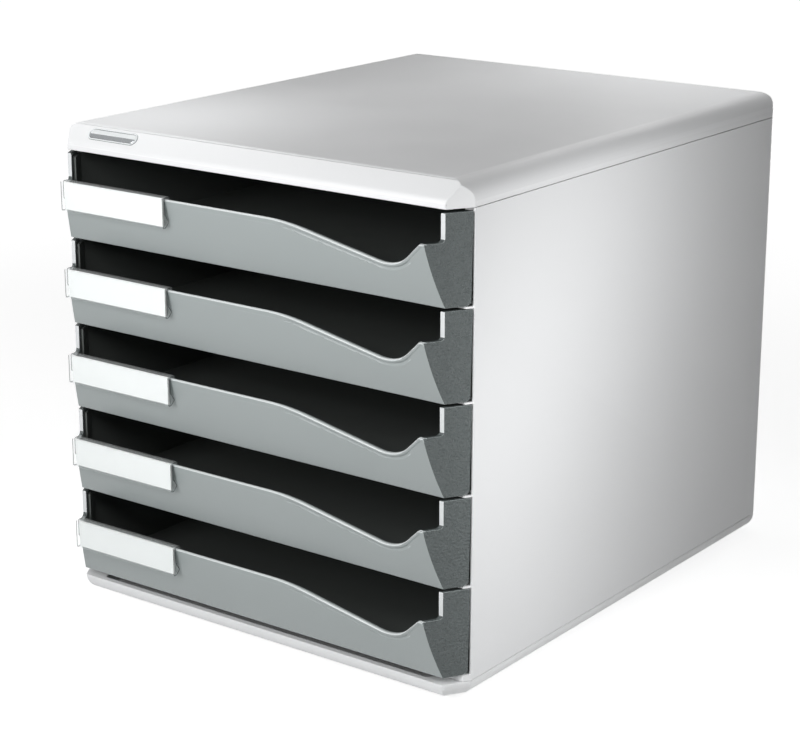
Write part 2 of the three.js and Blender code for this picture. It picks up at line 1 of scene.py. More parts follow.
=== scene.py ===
# %% [markdown]
# A desktop drawer unit in moulded plastic: a white housing whose cover, base and panels snap together, and
# charcoal trays that slide in it on ledges. Each tray wears a silver grey front with a wave-cut top edge
# and a clear label holder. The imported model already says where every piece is, how big it is and how it
# moves. This script gives the pieces their moulded look: fine round edges, grain, gloss and light.

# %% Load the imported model
import json
import math
from itertools import pairwise

import bmesh
import bpy
from mathutils import Matrix, Vector

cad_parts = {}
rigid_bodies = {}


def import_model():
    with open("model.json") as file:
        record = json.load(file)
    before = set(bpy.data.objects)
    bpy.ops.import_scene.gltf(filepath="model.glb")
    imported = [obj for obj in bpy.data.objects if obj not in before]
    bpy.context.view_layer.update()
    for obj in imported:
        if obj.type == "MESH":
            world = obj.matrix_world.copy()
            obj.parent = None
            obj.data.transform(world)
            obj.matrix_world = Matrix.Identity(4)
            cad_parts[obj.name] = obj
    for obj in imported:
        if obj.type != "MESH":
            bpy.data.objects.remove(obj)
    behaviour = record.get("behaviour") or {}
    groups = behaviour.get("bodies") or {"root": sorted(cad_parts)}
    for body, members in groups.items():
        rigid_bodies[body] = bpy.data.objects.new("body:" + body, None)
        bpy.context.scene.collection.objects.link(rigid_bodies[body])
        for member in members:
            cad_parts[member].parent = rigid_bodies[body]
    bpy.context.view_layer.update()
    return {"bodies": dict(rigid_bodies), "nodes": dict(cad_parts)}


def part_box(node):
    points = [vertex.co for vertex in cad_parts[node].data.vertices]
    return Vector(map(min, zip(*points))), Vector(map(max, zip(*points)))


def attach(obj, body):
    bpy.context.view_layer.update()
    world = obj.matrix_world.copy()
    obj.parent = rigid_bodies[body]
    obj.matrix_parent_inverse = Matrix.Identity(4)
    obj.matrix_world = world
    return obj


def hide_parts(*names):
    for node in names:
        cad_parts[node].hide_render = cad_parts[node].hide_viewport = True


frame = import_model()

# %% [markdown]
# The camera stands to the right of the unit and a little above it, and looks down at it. A long lens keeps
# the upright edges nearly parallel, as in a catalogue picture.

# %% Camera
CAMERA_PLACE = (0.7604, -1.0420, 0.5153)
CAMERA_TILT = math.radians(73.34)
CAMERA_TURN = math.radians(36.733)
LENS = 98.2
SENSOR_WIDTH = 36

camera_data = bpy.data.cameras.new("camera")
camera_data.lens = LENS
camera_data.sensor_width = SENSOR_WIDTH
camera = bpy.data.objects.new("camera", camera_data)
camera.location = CAMERA_PLACE
camera.rotation_euler = (CAMERA_TILT, 0, CAMERA_TURN)
bpy.context.scene.collection.objects.link(camera)
bpy.context.scene.camera = camera
bpy.context.scene.view_settings.view_transform = "Standard"
print("camera at", CAMERA_PLACE, "with a lens of", LENS, "mm")

# %% [markdown]
# Materials are built from nodes. A small helper adds a node and fills its sockets: a socket given to it is
# linked, and anything else is set as a value. Colours are written as they look on screen, from 0 to 255,
# and turned into the linear light values that shaders use.

# %% Helpers for materials
FULL_LEVEL = 255
DARK_END = 0.04045
DARK_SLOPE = 12.92
CURVE_OFFSET = 0.055
CURVE_POWER = 2.4


def linear(*levels):
    light = []
    for share in (level / FULL_LEVEL for level in levels):
        if share <= DARK_END:
            light.append(share / DARK_SLOPE)
        else:
            light.append(((share + CURVE_OFFSET) / (1 + CURVE_OFFSET)) ** CURVE_POWER)
    return (*light, 1.0)


def add(tree, kind, sockets, **settings):
    made = tree.nodes.new(kind)
    for name, value in settings.items():
        setattr(made, name, value)
    for key, value in sockets.items():
        if isinstance(value, bpy.types.NodeSocket):
            tree.links.new(value, made.inputs[key])
        else:
            made.inputs[key].default_value = value
    return made


def empty_material(name):
    material = bpy.data.materials.new(name)
    material.use_nodes = True
    material.node_tree.nodes.clear()
    return material


def finish_material(material, shader):
    add(material.node_tree, "ShaderNodeOutputMaterial", {"Surface": shader})
    return material


print("a middle grey of 128 is", round(linear(128)[0], 3), "as light")

# %% [markdown]
# Moulded plastic is never one flat colour. The surface has a fine grain from the etched mould, its gloss
# drifts a little where the melt cooled, and edges that hands and papers rub are a shade lighter. One
# function makes that finish, and each plastic of the unit gets its own colour, gloss and depth of grain.
# Pointiness tells the shader where the mesh turns an outer edge.

# %% Moulded plastic
CLOUD_SCALE = 9.0
CLOUD_DETAIL = 3.0
GLOSS_CLOUD_SCALE = 26.0
GLOSS_CLOUD_DETAIL = 4.0
GRAIN_DETAIL = 2.0
GLOSS_BELOW = 0.04
GLOSS_ABOVE = 0.05
NOISE_LOW = 0.3
NOISE_HIGH = 0.7
EDGE_BEGINS = 0.53
EDGE_FULL = 0.62
MOST_WEAR = 0.8
WEAR_LIFT = 0.01


def tinted(colour, factor, lift=0.0):
    return (*(min(1.0, level * factor + lift) for level in colour[:3]), 1.0)


def moulded_plastic(name, colour, gloss, grain_scale, grain_depth, drift, edge_light, metal=0.0):
    material = empty_material(name)
    tree = material.node_tree
    place = add(tree, "ShaderNodeTexCoord", {}).outputs["Object"]
    clouds = add(tree, "ShaderNodeTexNoise",
                 {"Vector": place, "Scale": CLOUD_SCALE, "Detail": CLOUD_DETAIL})
    base = add(tree, "ShaderNodeMix", {"Factor": clouds.outputs["Fac"], "A": tinted(colour, 1 - drift),
                                       "B": colour}, data_type="RGBA")
    pointiness = add(tree, "ShaderNodeNewGeometry", {}).outputs["Pointiness"]
    edge = add(tree, "ShaderNodeMapRange",
               {"Value": pointiness, "From Min": EDGE_BEGINS, "From Max": EDGE_FULL,
                "To Min": 0.0, "To Max": MOST_WEAR})
    worn = add(tree, "ShaderNodeMix", {"Factor": edge.outputs["Result"], "A": base.outputs["Result"],
                                       "B": tinted(colour, 1 + edge_light, WEAR_LIFT)}, data_type="RGBA")
    streaks = add(tree, "ShaderNodeTexNoise",
                  {"Vector": place, "Scale": GLOSS_CLOUD_SCALE, "Detail": GLOSS_CLOUD_DETAIL})
    roughness = add(tree, "ShaderNodeMapRange",
                    {"Value": streaks.outputs["Fac"], "From Min": NOISE_LOW, "From Max": NOISE_HIGH,
                     "To Min": gloss - GLOSS_BELOW, "To Max": gloss + GLOSS_ABOVE})
    grain = add(tree, "ShaderNodeTexNoise",
                {"Vector": place, "Scale": grain_scale, "Detail": GRAIN_DETAIL})
    bump = add(tree, "ShaderNodeBump", {"Height": grain.outputs["Fac"], "Strength": 1.0,
                                        "Distance": grain_depth})
    shader = add(tree, "ShaderNodeBsdfPrincipled",
                 {"Base Color": worn.outputs["Result"], "Roughness": roughness.outputs["Result"],
                  "Normal": bump.outputs["Normal"], "Metallic": metal})
    return finish_material(material, shader.outputs["BSDF"])


print("the roughness drifts from", GLOSS_BELOW, "below its set value to", GLOSS_ABOVE, "above it")

# %% [markdown]
# These are the finishes of the unit. The housing is nearly white with a satin gloss. The fronts are silver
# grey and smooth, and their cheeks are darker with a deep leathery grain. The upper side of the bead on each
# front and the narrow upright edges of the cheeks wear a much lighter silver, a painted highlight where light
# catches them. The trays are charcoal, and the feet are dull rubber. Each could be a material drawn by hand
# in the node editor, but eight calls of one function keep them alike where they should be alike. The grain's
# depth is in metres.

# %% Finishes
housing_white = moulded_plastic("housing_white", linear(236, 237, 238), gloss=0.42, grain_scale=1800,
                                grain_depth=0.000012, drift=0.02, edge_light=0.05)
face_silver = moulded_plastic("face_silver", linear(157, 164, 164), gloss=0.36, grain_scale=2400,
                              grain_depth=0.00001, drift=0.05, edge_light=0.5)
cheek_grey = moulded_plastic("cheek_grey", linear(80, 87, 87), gloss=0.5, grain_scale=720,
                             grain_depth=0.0019, drift=0.06, edge_light=0.4)
# A much lighter silver as a painted highlight: on the cheeks' upright edges, and on the lit rim and upper
# field of the badge.
highlight_silver = moulded_plastic("highlight_silver", linear(224, 227, 228), gloss=0.3, grain_scale=2400,
                              grain_depth=0.000008, drift=0.02, edge_light=0.2)
# A lighter silver as a painted highlight on the upper side of the bead.
bead_highlight_silver = moulded_plastic("bead_highlight_silver", linear(220, 225, 225), gloss=0.26, grain_scale=2400,
                              grain_depth=0.000006, drift=0.03, edge_light=0.1)
tray_charcoal = moulded_plastic("tray_charcoal", linear(90, 94, 92), gloss=0.55, grain_scale=1400,
                                grain_depth=0.00003, drift=0.08, edge_light=0.3)
badge_silver = moulded_plastic("badge_silver", linear(152, 155, 157), gloss=0.24, grain_scale=2400,
                               grain_depth=0.000002, drift=0.03, edge_light=0.3, metal=0.8)
foot_rubber = moulded_plastic("foot_rubber", linear(75, 77, 79), gloss=0.85, grain_scale=900,
                              grain_depth=0.00005, drift=0.1, edge_light=0.1)
print("plastics:", len(bpy.data.materials))

# %% [markdown]
# The label card is white paper: matt, with faint fibres. The holder in front of it is thin clear plastic.
# Real refraction would darken the card, because the light that reaches it passes through the plastic twice,
# so the clear shader lets light straight through and only adds the gloss of the surface, more of it at the
# rims. The ends of the strip get the same shader with a darker body and far less light let through.

# %% Paper and clear plastic
FIBRE_SCALE = 1600.0
FIBRE_DETAIL = 5.0
FIBRE_DEPTH = 0.00002
PAPER_ROUGHNESS = 0.9
RIPPLE_SCALE = 160.0
RIPPLE_DETAIL = 1.0
RIPPLE_DEPTH = 0.00003
RIM_BLEND = 0.35
FILM_ROUGHNESS = 0.12


def paper():
    material = empty_material("card_paper")
    tree = material.node_tree
    place = add(tree, "ShaderNodeTexCoord", {}).outputs["Object"]
    fibres = add(tree, "ShaderNodeTexNoise",
                 {"Vector": place, "Scale": FIBRE_SCALE, "Detail": FIBRE_DETAIL})
    colour = add(tree, "ShaderNodeMix", {"Factor": fibres.outputs["Fac"], "A": linear(249, 249, 248),
                                         "B": linear(254, 254, 254)}, data_type="RGBA")
    bump = add(tree, "ShaderNodeBump", {"Height": fibres.outputs["Fac"], "Distance": FIBRE_DEPTH})
    shader = add(tree, "ShaderNodeBsdfPrincipled",
                 {"Base Color": colour.outputs["Result"], "Roughness": PAPER_ROUGHNESS,
                  "Normal": bump.outputs["Normal"]})
    return finish_material(material, shader.outputs["BSDF"])


def clear_plastic(name, body, least, most):
    material = empty_material(name)
    tree = material.node_tree
    place = add(tree, "ShaderNodeTexCoord", {}).outputs["Object"]
    ripples = add(tree, "ShaderNodeTexNoise",
                  {"Vector": place, "Scale": RIPPLE_SCALE, "Detail": RIPPLE_DETAIL})
    bump = add(tree, "ShaderNodeBump", {"Height": ripples.outputs["Fac"], "Distance": RIPPLE_DEPTH})
    rim = add(tree, "ShaderNodeLayerWeight", {"Blend": RIM_BLEND})
    through = add(tree, "ShaderNodeBsdfTransparent", {"Color": linear(253, 254, 254)})
    gloss = add(tree, "ShaderNodeBsdfPrincipled", {"Base Color": body, "Roughness": FILM_ROUGHNESS,
                                                   "Normal": bump.outputs["Normal"]})
    share = add(tree, "ShaderNodeMapRange",
                {"Value": rim.outputs["Facing"], "To Min": least, "To Max": most})
    mixed = add(tree, "ShaderNodeMixShader", {0: share.outputs["Result"], 1: through.outputs["BSDF"],
                                              2: gloss.outputs["BSDF"]})
    return finish_material(material, mixed.outputs["Shader"])


card_paper = paper()
clear_film = clear_plastic("clear_plastic", linear(244, 246, 246), least=0.03, most=0.28)
clear_end = clear_plastic("clear_plastic_end", linear(92, 98, 98), least=0.7, most=0.95)
print("materials in all:", len(bpy.data.materials))

# %% [markdown]
# Most pieces of the unit are plates with rounded outlines. An outline is a list of corners, given
# anticlockwise, and a corner is sharp or has a radius of its own. The edges can be moved inwards as a
# whole, which gives the inside of a wall of even thickness, and a corner with a radius becomes an arc of
# short straight steps.

# %% Helpers for outlines
MM = 0.001
ARC_STEPS = 12
LEAST_RADIUS = 0.3 * MM


def crossing(point, way, other_point, other_way):
    return point + way * ((other_point - point).cross(other_way) / way.cross(other_way))


def corner_arc(point, before, after, radius):
    turn = math.atan2(before.cross(after), before.dot(after))
    start = point - before * (radius * math.tan(abs(turn) / 2))
    centre = start + Vector((-before.y, before.x)) * math.copysign(radius, turn)
    steps = [Matrix.Rotation(turn * step / ARC_STEPS, 2) for step in range(ARC_STEPS + 1)]
    return [centre + spin @ (start - centre) for spin in steps]


def outline(corners, inset=0.0):
    places = [Vector(corner[:2]) for corner in corners]
    ways = [(after - place).normalized() for place, after in zip(places, places[1:] + places[:1])]
    lines = [(place + Vector((-way.y, way.x)) * inset, way) for place, way in zip(places, ways)]
    points = []
    for index, corner in enumerate(corners):
        (before_point, before), (after_point, after) = lines[index - 1], lines[index]
        point = crossing(before_point, before, after_point, after)
        if len(corner) == 2:
            points.append(point)
            continue
        growth = -inset if before.cross(after) > 0 else inset
        points += corner_arc(point, before, after, max(corner[2] + growth, LEAST_RADIUS))
    return points


print("a corner with a radius has", ARC_STEPS + 1, "points")

# %% [markdown]
# A prism is an outline drawn in two axes and pulled along the third. Prisms are then fused, cut and kept
# within each other with Boolean modifiers, which is how a mould maker would describe such parts. Each
# result is turned into a plain mesh at once, so that the next step starts from real faces.

# %% Helpers for solids
AXES = {"X": (1, 2, 0), "Y": (0, 2, 1), "Z": (0, 1, 2)}


def piece_from(name, vertices, faces):
    mesh = bpy.data.meshes.new(name)
    mesh.from_pydata(vertices, [], faces)
    shape = bmesh.new()
    shape.from_mesh(mesh)
    bmesh.ops.recalc_face_normals(shape, faces=shape.faces)
    shape.to_mesh(mesh)
    shape.free()
    piece = bpy.data.objects.new(name, mesh)
    bpy.context.scene.collection.objects.link(piece)
    return piece


def prism(points, axis, start, end):
    across, up, along = AXES[axis]
    vertices = []
    for level in (start, end):
        for point in points:
            vertex = [0.0, 0.0, 0.0]
            vertex[across], vertex[up], vertex[along] = point[0], point[1], level
            vertices.append(vertex)
    count = len(points)
    faces = [list(range(count)), list(range(count, 2 * count))]
    for index in range(count):
        after = (index + 1) % count
        faces.append([index, after, count + after, count + index])
    return piece_from("prism", vertices, faces)


def block(x, y, z):
    return prism([(x[0], y[0]), (x[1], y[0]), (x[1], y[1]), (x[0], y[1])], "Z", *z)


def settle(piece):
    graph = bpy.context.evaluated_depsgraph_get()
    mesh = bpy.data.meshes.new_from_object(piece.evaluated_get(graph))
    piece.modifiers.clear()
    piece.data = mesh
    return piece


def combine(piece, tool, operation):
    modifier = piece.modifiers.new("combine", "BOOLEAN")
    modifier.operation = operation
    modifier.solver = "EXACT"
    modifier.object = tool
    settle(piece)
    bpy.data.objects.remove(tool)
    return piece


def fuse(piece, *tools):
    for tool in tools:
        combine(piece, tool, "UNION")
    return piece


def cut(piece, *tools):
    for tool in tools:
        combine(piece, tool, "DIFFERENCE")
    return piece


def keep(piece, *tools):
    for tool in tools:
        combine(piece, tool, "INTERSECT")
    return piece


def mirrored(piece):
    twin = piece.copy()
    twin.data = piece.data.copy()
    twin.data.transform(Matrix.Scale(-1, 4, (1, 0, 0)))
    twin.data.flip_normals()
    bpy.context.scene.collection.objects.link(twin)
    return twin


# %% [markdown]
# No moulded edge is sharp. After the solids are joined, vertices that nearly meet are welded, faces that
# lie in one plane are dissolved into one, and the edges that turn more than a set angle get a small round
# bevel. Then each vertex gets the mean of its faces' normals, weighted by their areas: the wide faces stay
# flat, and the bevels blend between them. Without that last step the light would swim across the big
# panels.

# %% Helper for soft edges
SAME_PLACE = 0.02 * MM
PLANE_ANGLE = math.radians(0.05)
EDGE_ANGLE = math.radians(24)
BEVEL_STEPS = 3


def soft_edges(piece, width, steps, same_place):
    weld = piece.modifiers.new("weld", "WELD")
    weld.merge_threshold = same_place
    planes = piece.modifiers.new("planes", "DECIMATE")
    planes.decimate_type = "DISSOLVE"
    planes.angle_limit = PLANE_ANGLE
    bevel = piece.modifiers.new("bevel", "BEVEL")
    bevel.width = width
    bevel.segments = steps
    bevel.limit_method = "ANGLE"
    bevel.angle_limit = EDGE_ANGLE
    return planes, bevel


def even_normals(piece):
    mesh = piece.data
    sums = [Vector() for _ in mesh.vertices]
    for polygon in mesh.polygons:
        for index in polygon.vertices:
            sums[index] += polygon.area * polygon.normal
    normals = mesh.attributes.new("custom_normal", "FLOAT_VECTOR", "POINT")
    normals.data.foreach_set("vector", [part for total in sums for part in total.normalized()])
    return piece


def soften(piece, width, steps=BEVEL_STEPS):
    for polygon in piece.data.polygons:
        polygon.use_smooth = True
    planes, bevel = soft_edges(piece, width, steps, SAME_PLACE)
    planes.delimit = {"MATERIAL"}
    bevel.miter_outer = "MITER_ARC"
    bevel.use_clamp_overlap = False
    return even_normals(settle(piece))


print("edges that turn more than", round(math.degrees(EDGE_ANGLE)), "degrees get a bevel")

# %% [markdown]
# A piece can wear several finishes, each in a slot of its own, and every face of the mesh says by a number
# which slot it uses. One helper fills the slots and another also picks the slot face by face. A third gives
# a piece of the housing its name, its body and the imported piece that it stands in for.

# %% Helpers for finishes and names
def wear(piece, *finishes):
    piece.data.materials.clear()
    for finish in finishes:
        piece.data.materials.append(finish)


def paint(piece, finishes, pick):
    wear(piece, *finishes)
    for polygon in piece.data.polygons:
        polygon.material_index = pick(polygon)


def dress(piece, name, body, finish):
    piece.name = name + "_look"
    piece.data.name = piece.name
    wear(piece, finish)
    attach(piece, body)
    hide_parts(name)
    print(piece.name, "has", len(piece.data.polygons), "faces")


# %% [markdown]
# The housing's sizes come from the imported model. Its plan is a rectangle whose two front corners are cut at
# an angle, and both the cover and the base follow it.

# %% Housing sizes
cover_low, cover_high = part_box("top_cover")
base_low, base_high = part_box("base_tray")
HALF_WIDTH = cover_high.x
FRONT = cover_low.y
REAR = cover_high.y
TOP = cover_high.z
SEAM = cover_low.z
CORNER_WIDTH = 8.7 * MM
CORNER_DEPTH = 14.1 * MM
PLAN_RADIUS = 0.6 * MM
FRONT_HALF = HALF_WIDTH - CORNER_WIDTH
CORNER_SLOPE = CORNER_WIDTH / CORNER_DEPTH
REAR_CORNER_RADIUS = 5 * MM
CLEARANCE = 0.3 * MM
OVERRUN = 5 * MM


def housing_plan(inset=0.0, corner_radius=PLAN_RADIUS):
    return outline([
        (-FRONT_HALF, FRONT, corner_radius),
        (FRONT_HALF, FRONT, corner_radius),
        (HALF_WIDTH, FRONT + CORNER_DEPTH, corner_radius),
        (HALF_WIDTH, REAR, REAR_CORNER_RADIUS),
        (-HALF_WIDTH, REAR, REAR_CORNER_RADIUS),
        (-HALF_WIDTH, FRONT + CORNER_DEPTH, corner_radius),
    ], inset)


print("housing:", round(2 * HALF_WIDTH, 4), "wide,", round(REAR - FRONT, 4), "deep,", round(TOP, 4), "high")

# %% [markdown]
# The cover is one moulding of even wall. Its sides roll over in a large radius, its front slopes down to a
# short lip, and the angled corners cut through both. Three prisms kept within each other give exactly that:
# the cross section along the depth, the long section across the width, and the plan. The same three, moved
# inwards by the wall, are the hollow.

# %% Top cover
COVER_WALL = 2.2 * MM
COVER_EDGE_RADIUS = 12 * MM
COVER_REAR_RADIUS = 4 * MM
COVER_LIP_HEIGHT = 4.4 * MM
COVER_SLOPE_DEPTH = 10 * MM
CREASE_RADIUS = 3 * MM
LIP_BEND_RADIUS = 5 * MM
COVER_SOFTNESS = 0.5 * MM


def cover_form(inset, bottom):
    low = bottom - inset
    across = outline([
        (-HALF_WIDTH, low),
        (HALF_WIDTH, low),
        (HALF_WIDTH, TOP, COVER_EDGE_RADIUS),
        (-HALF_WIDTH, TOP, COVER_EDGE_RADIUS),
    ], inset)
    lengthwise = outline([
        (FRONT, low),
        (REAR, low),
        (REAR, TOP, COVER_REAR_RADIUS),
        (FRONT + COVER_SLOPE_DEPTH, TOP, CREASE_RADIUS),
        (FRONT, SEAM + COVER_LIP_HEIGHT, LIP_BEND_RADIUS),
    ], inset)
    form = prism(across, "Y", FRONT - OVERRUN, REAR + OVERRUN)
    return keep(form, prism(lengthwise, "X", -HALF_WIDTH - OVERRUN, HALF_WIDTH + OVERRUN),
                prism(housing_plan(inset), "Z", bottom, TOP + OVERRUN))


cover = cut(cover_form(0.0, SEAM), cover_form(COVER_WALL, SEAM - OVERRUN))
soften(cover, COVER_SOFTNESS)
dress(cover, "top_cover", "housing", housing_white)

# %% [markdown]
# Some forms change as they rise: the edge of a dish, or a plate with a rim. They could be modelled face by
# face, but a loft is shorter. The same outline is drawn again at each level, a little smaller or larger,
# and neighbouring rings are joined with faces. The two caps come first in the list of faces and the bands
# follow, ring by ring, so a later step can tell them apart by their numbers.

# %% Helper for lofts
def loft(name, rings):
    count = len(rings[0])
    vertices = [point for ring in rings for point in ring]
    faces = [list(range(count)), list(range(len(vertices) - count, len(vertices)))]
    for first in range(0, len(vertices) - count, count):
        for index in range(count):
            after = (index + 1) % count
            faces.append([first + index, first + after, first + count + after, first + count + index])
    return piece_from(name, vertices, faces)


# %% [markdown]
# A small oval plate sits near the left end of the slope. It is bare: a rim, a groove inside the rim, and a
# field that swells in the middle, in a shiny grey. It is a loft of pill-shaped rings, made flat and then
# turned up to the slope. Its rim and the upper half of its field catch the light, so they wear the lighter
# finish.

# %% Badge plate
BADGE_MIDDLE = -102.2 * MM
BADGE_LENGTH = 37.5 * MM
BADGE_WIDTH = 8.0 * MM
BADGE_LIFT = 0.6 * MM
BADGE_SEAT = 0.4 * MM
BADGE_RIM = [(0.0, 0.2), (0.15, 0.5), (0.4, 0.7), (0.7, 0.7), (0.95, 0.5), (1.1, 0.1)]
CAPS = 2
BRIGHT_BANDS = range(2, 5)
BADGE_GROOVE = 1.1 * MM
BADGE_SWELL = 1.0 * MM
FIELD_FOOT = 0.1 * MM
FIELD_REACH = 0.85
FIELD_SPLIT = -0.05
SWELL_RINGS = 10
RING_SPACING = 1.5
PILL_ROUNDNESS = 0.99
slope_rise = TOP - SEAM - COVER_LIP_HEIGHT
onto_slope = (Matrix.Translation((BADGE_MIDDLE, FRONT + COVER_SLOPE_DEPTH / 2, TOP - slope_rise / 2))
              @ Matrix.Rotation(math.atan2(slope_rise, COVER_SLOPE_DEPTH), 4, "X")
              @ Matrix.Translation((0, BADGE_LIFT, 0)))
slope_up = (onto_slope.to_3x3() @ Vector((0, 1, 0))).normalized()


def pill_ring(inset, rise):
    across, up = BADGE_LENGTH / 2, BADGE_WIDTH / 2
    radius = PILL_ROUNDNESS * up
    corners = ((-across, -up), (across, -up), (across, up), (-across, up))
    return [(point.x, point.y, rise) for point in outline([(*corner, radius) for corner in corners], inset)]


def field_ring(step):
    share = FIELD_REACH * (step / SWELL_RINGS) ** RING_SPACING
    inset = BADGE_GROOVE + share * (BADGE_WIDTH / 2 - BADGE_GROOVE)
    return pill_ring(inset, FIELD_FOOT + BADGE_SWELL * math.sqrt(1 - (1 - share) ** 2))


def badge_finish(polygon):
    band = (polygon.index - CAPS) // len(pill_ring(0.0, 0.0))
    on_field = polygon.index == 1 or band >= len(BADGE_RIM)
    return int(band in BRIGHT_BANDS or on_field and polygon.normal.dot(slope_up) > FIELD_SPLIT)


badge = loft("badge_plate", [
    pill_ring(0.0, -BADGE_SEAT),
    *(pill_ring(inset * MM, rise * MM) for inset, rise in BADGE_RIM),
    *(field_ring(step) for step in range(1, SWELL_RINGS + 1)),
])
badge.data.transform(onto_slope)
for polygon in badge.data.polygons:
    polygon.use_smooth = True
even_normals(badge)
paint(badge, (badge_silver, highlight_silver), badge_finish)
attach(badge, "housing")
print("badge:", len(badge.data.polygons), "faces")

# %% [markdown]
# What repeats or follows a path is made with Geometry Nodes. A tree gets named inputs, so another part
# could use it with sizes of its own. Every tree ends in the same way: instances are made real, the faces
# shade smoothly and the material is set. A modifier's input is set by the socket's identifier, before the
# first evaluation, and the result is then kept as a plain mesh.

# %% Helper for Geometry Nodes
def new_tree(name, sizes):
    tree = bpy.data.node_groups.new(name, "GeometryNodeTree")
    tree.interface.new_socket("Geometry", in_out="INPUT", socket_type="NodeSocketGeometry")
    for size, kind in sizes.items():
        tree.interface.new_socket(size, in_out="INPUT", socket_type="NodeSocket" + kind)
    tree.interface.new_socket("Geometry", in_out="OUTPUT", socket_type="NodeSocketGeometry")
    return tree, add(tree, "NodeGroupInput", {}).outputs


def end_tree(tree, geometry, material):
    real = add(tree, "GeometryNodeRealizeInstances", {"Geometry": geometry})
    smooth = add(tree, "GeometryNodeSetShadeSmooth", {"Geometry": real.outputs["Geometry"]})
    painted = add(tree, "GeometryNodeSetMaterial",
                  {"Geometry": smooth.outputs["Geometry"], "Material": material})
    add(tree, "NodeGroupOutput", {"Geometry": painted.outputs["Geometry"]})


def grow(piece, tree, values):
    modifier = piece.modifiers.new(tree.name, "NODES")
    modifier.node_group = tree
    for item in tree.interface.items_tree:
        if item.in_out == "INPUT" and item.name in values:
            modifier[item.identifier] = values[item.name]
    return settle(piece)


# %% [markdown]
# Four ribs stiffen the cover from below. They could be copied by hand, but a tree says it more plainly: a
# line of points along the depth, and a block on each point.

# %% Ribs under the cover
RIB_COUNT = 4
RIB_HEIGHT = 3.5 * MM
RIB_WIDTH = 1.8 * MM

rib_tree, rib_sizes = new_tree("ribs", {"Count": "Int", "First": "Vector", "Step": "Vector",
                                        "Rib size": "Vector"})
rib_line = add(rib_tree, "GeometryNodeMeshLine",
               {"Count": rib_sizes["Count"], "Start Location": rib_sizes["First"],
                "Offset": rib_sizes["Step"]})
rib_block = add(rib_tree, "GeometryNodeMeshCube", {"Size": rib_sizes["Rib size"]})
rib_copies = add(rib_tree, "GeometryNodeInstanceOnPoints", {"Points": rib_line.outputs["Mesh"],
                                                            "Instance": rib_block.outputs["Mesh"]})
end_tree(rib_tree, rib_copies.outputs["Instances"], housing_white)

ribs = piece_from("cover_ribs", [(0, 0, 0)], [])
rib_step = (REAR - FRONT) / (RIB_COUNT + 1)
rib_middle = TOP - COVER_WALL - RIB_HEIGHT / 2
grow(ribs, rib_tree, {"Count": RIB_COUNT, "First": (0, FRONT + rib_step, rib_middle),
                      "Step": (0, rib_step, 0),
                      "Rib size": (2 * (HALF_WIDTH - COVER_EDGE_RADIUS), RIB_WIDTH, RIB_HEIGHT)})
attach(ribs, "housing")
print("ribs:", RIB_COUNT, "faces:", len(ribs.data.polygons))

# %% [markdown]
# The base is a shallow pan. Its lower edge is a quarter round that runs all the way round the plan, so it
# is a loft: the plan is drawn again at each level of the quarter circle, moved inwards. A wide bevel could
# do the same, but in a loft the plan's own corners stay in hand at every level. Recess, grooves for the
# side panels and seats for the feet are cut into it afterwards.

# %% Base
BASE_EDGE_RADIUS = 9.4 * MM
BASE_CORNER_RADIUS = 3 * MM
BASE_RIM = 4 * MM
BASE_DECK_WIDTH = 20.7 * MM
BASE_RECESS_DEPTH = 5.4 * MM
BASE_ROUND_STEPS = 18
BASE_SOFTNESS = 0.25 * MM
PANEL_INNER = HALF_WIDTH - 3.6 * MM
TONGUE_THICKNESS = 1.1 * MM
TONGUE_HEIGHT = 3 * MM
PANEL_EDGE_DEPTH = 8 * MM
FOOT_SEAT_DEPTH = 1.2 * MM
SEAT_SIDES = 40
FEET = ("foot_front_left", "foot_front_right", "foot_rear_left", "foot_rear_right")
BASE_TOP = base_high.z
BASE_UNDERSIDE = base_low.z


def base_ring(inset, z):
    return [(point.x, point.y, z) for point in housing_plan(inset, BASE_CORNER_RADIUS)]


def base_blank():
    turns = [math.pi / 2 * step / BASE_ROUND_STEPS for step in range(BASE_ROUND_STEPS + 1)]
    rings = [base_ring(BASE_EDGE_RADIUS * (1 - math.sin(turn)),
                       BASE_UNDERSIDE + BASE_EDGE_RADIUS * (1 - math.cos(turn))) for turn in turns]
    return loft("base", rings + [base_ring(0.0, BASE_TOP)])


recess_half = HALF_WIDTH - BASE_DECK_WIDTH
recess = prism(outline([
    (-recess_half, FRONT + BASE_RIM, BASE_CORNER_RADIUS),
    (recess_half, FRONT + BASE_RIM, BASE_CORNER_RADIUS),
    (recess_half, REAR - BASE_RIM, BASE_CORNER_RADIUS),
    (-recess_half, REAR - BASE_RIM, BASE_CORNER_RADIUS),
]), "Z", BASE_TOP - BASE_RECESS_DEPTH, BASE_TOP + OVERRUN)
groove = block((PANEL_INNER - CLEARANCE, PANEL_INNER + TONGUE_THICKNESS + CLEARANCE),
               (FRONT + CORNER_DEPTH + PANEL_EDGE_DEPTH, REAR - REAR_CORNER_RADIUS),
               (BASE_TOP - TONGUE_HEIGHT - CLEARANCE, BASE_TOP + OVERRUN))


def foot_seat(foot):
    low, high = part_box(foot)
    middle = (low + high) / 2
    radius = (high.x - low.x) / 2 + CLEARANCE
    turns = [2 * math.pi * step / SEAT_SIDES for step in range(SEAT_SIDES)]
    ring = [(middle.x + radius * math.cos(turn), middle.y + radius * math.sin(turn)) for turn in turns]
    return prism(ring, "Z", BASE_UNDERSIDE - OVERRUN, BASE_UNDERSIDE + FOOT_SEAT_DEPTH)


seats = [foot_seat(foot) for foot in FEET]
base = soften(cut(base_blank(), recess, mirrored(groove), groove, *seats), BASE_SOFTNESS)
dress(base, "base_tray", "housing", housing_white)

# %% [markdown]
# The side panels and the back are flat plates with ledges and flanges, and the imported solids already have
# their true shape. They stay as they are and only get soft edges, from modifiers that are left live: a weld
# joins the loose triangles, the planes are dissolved, and the bevel follows. The feet get the same.

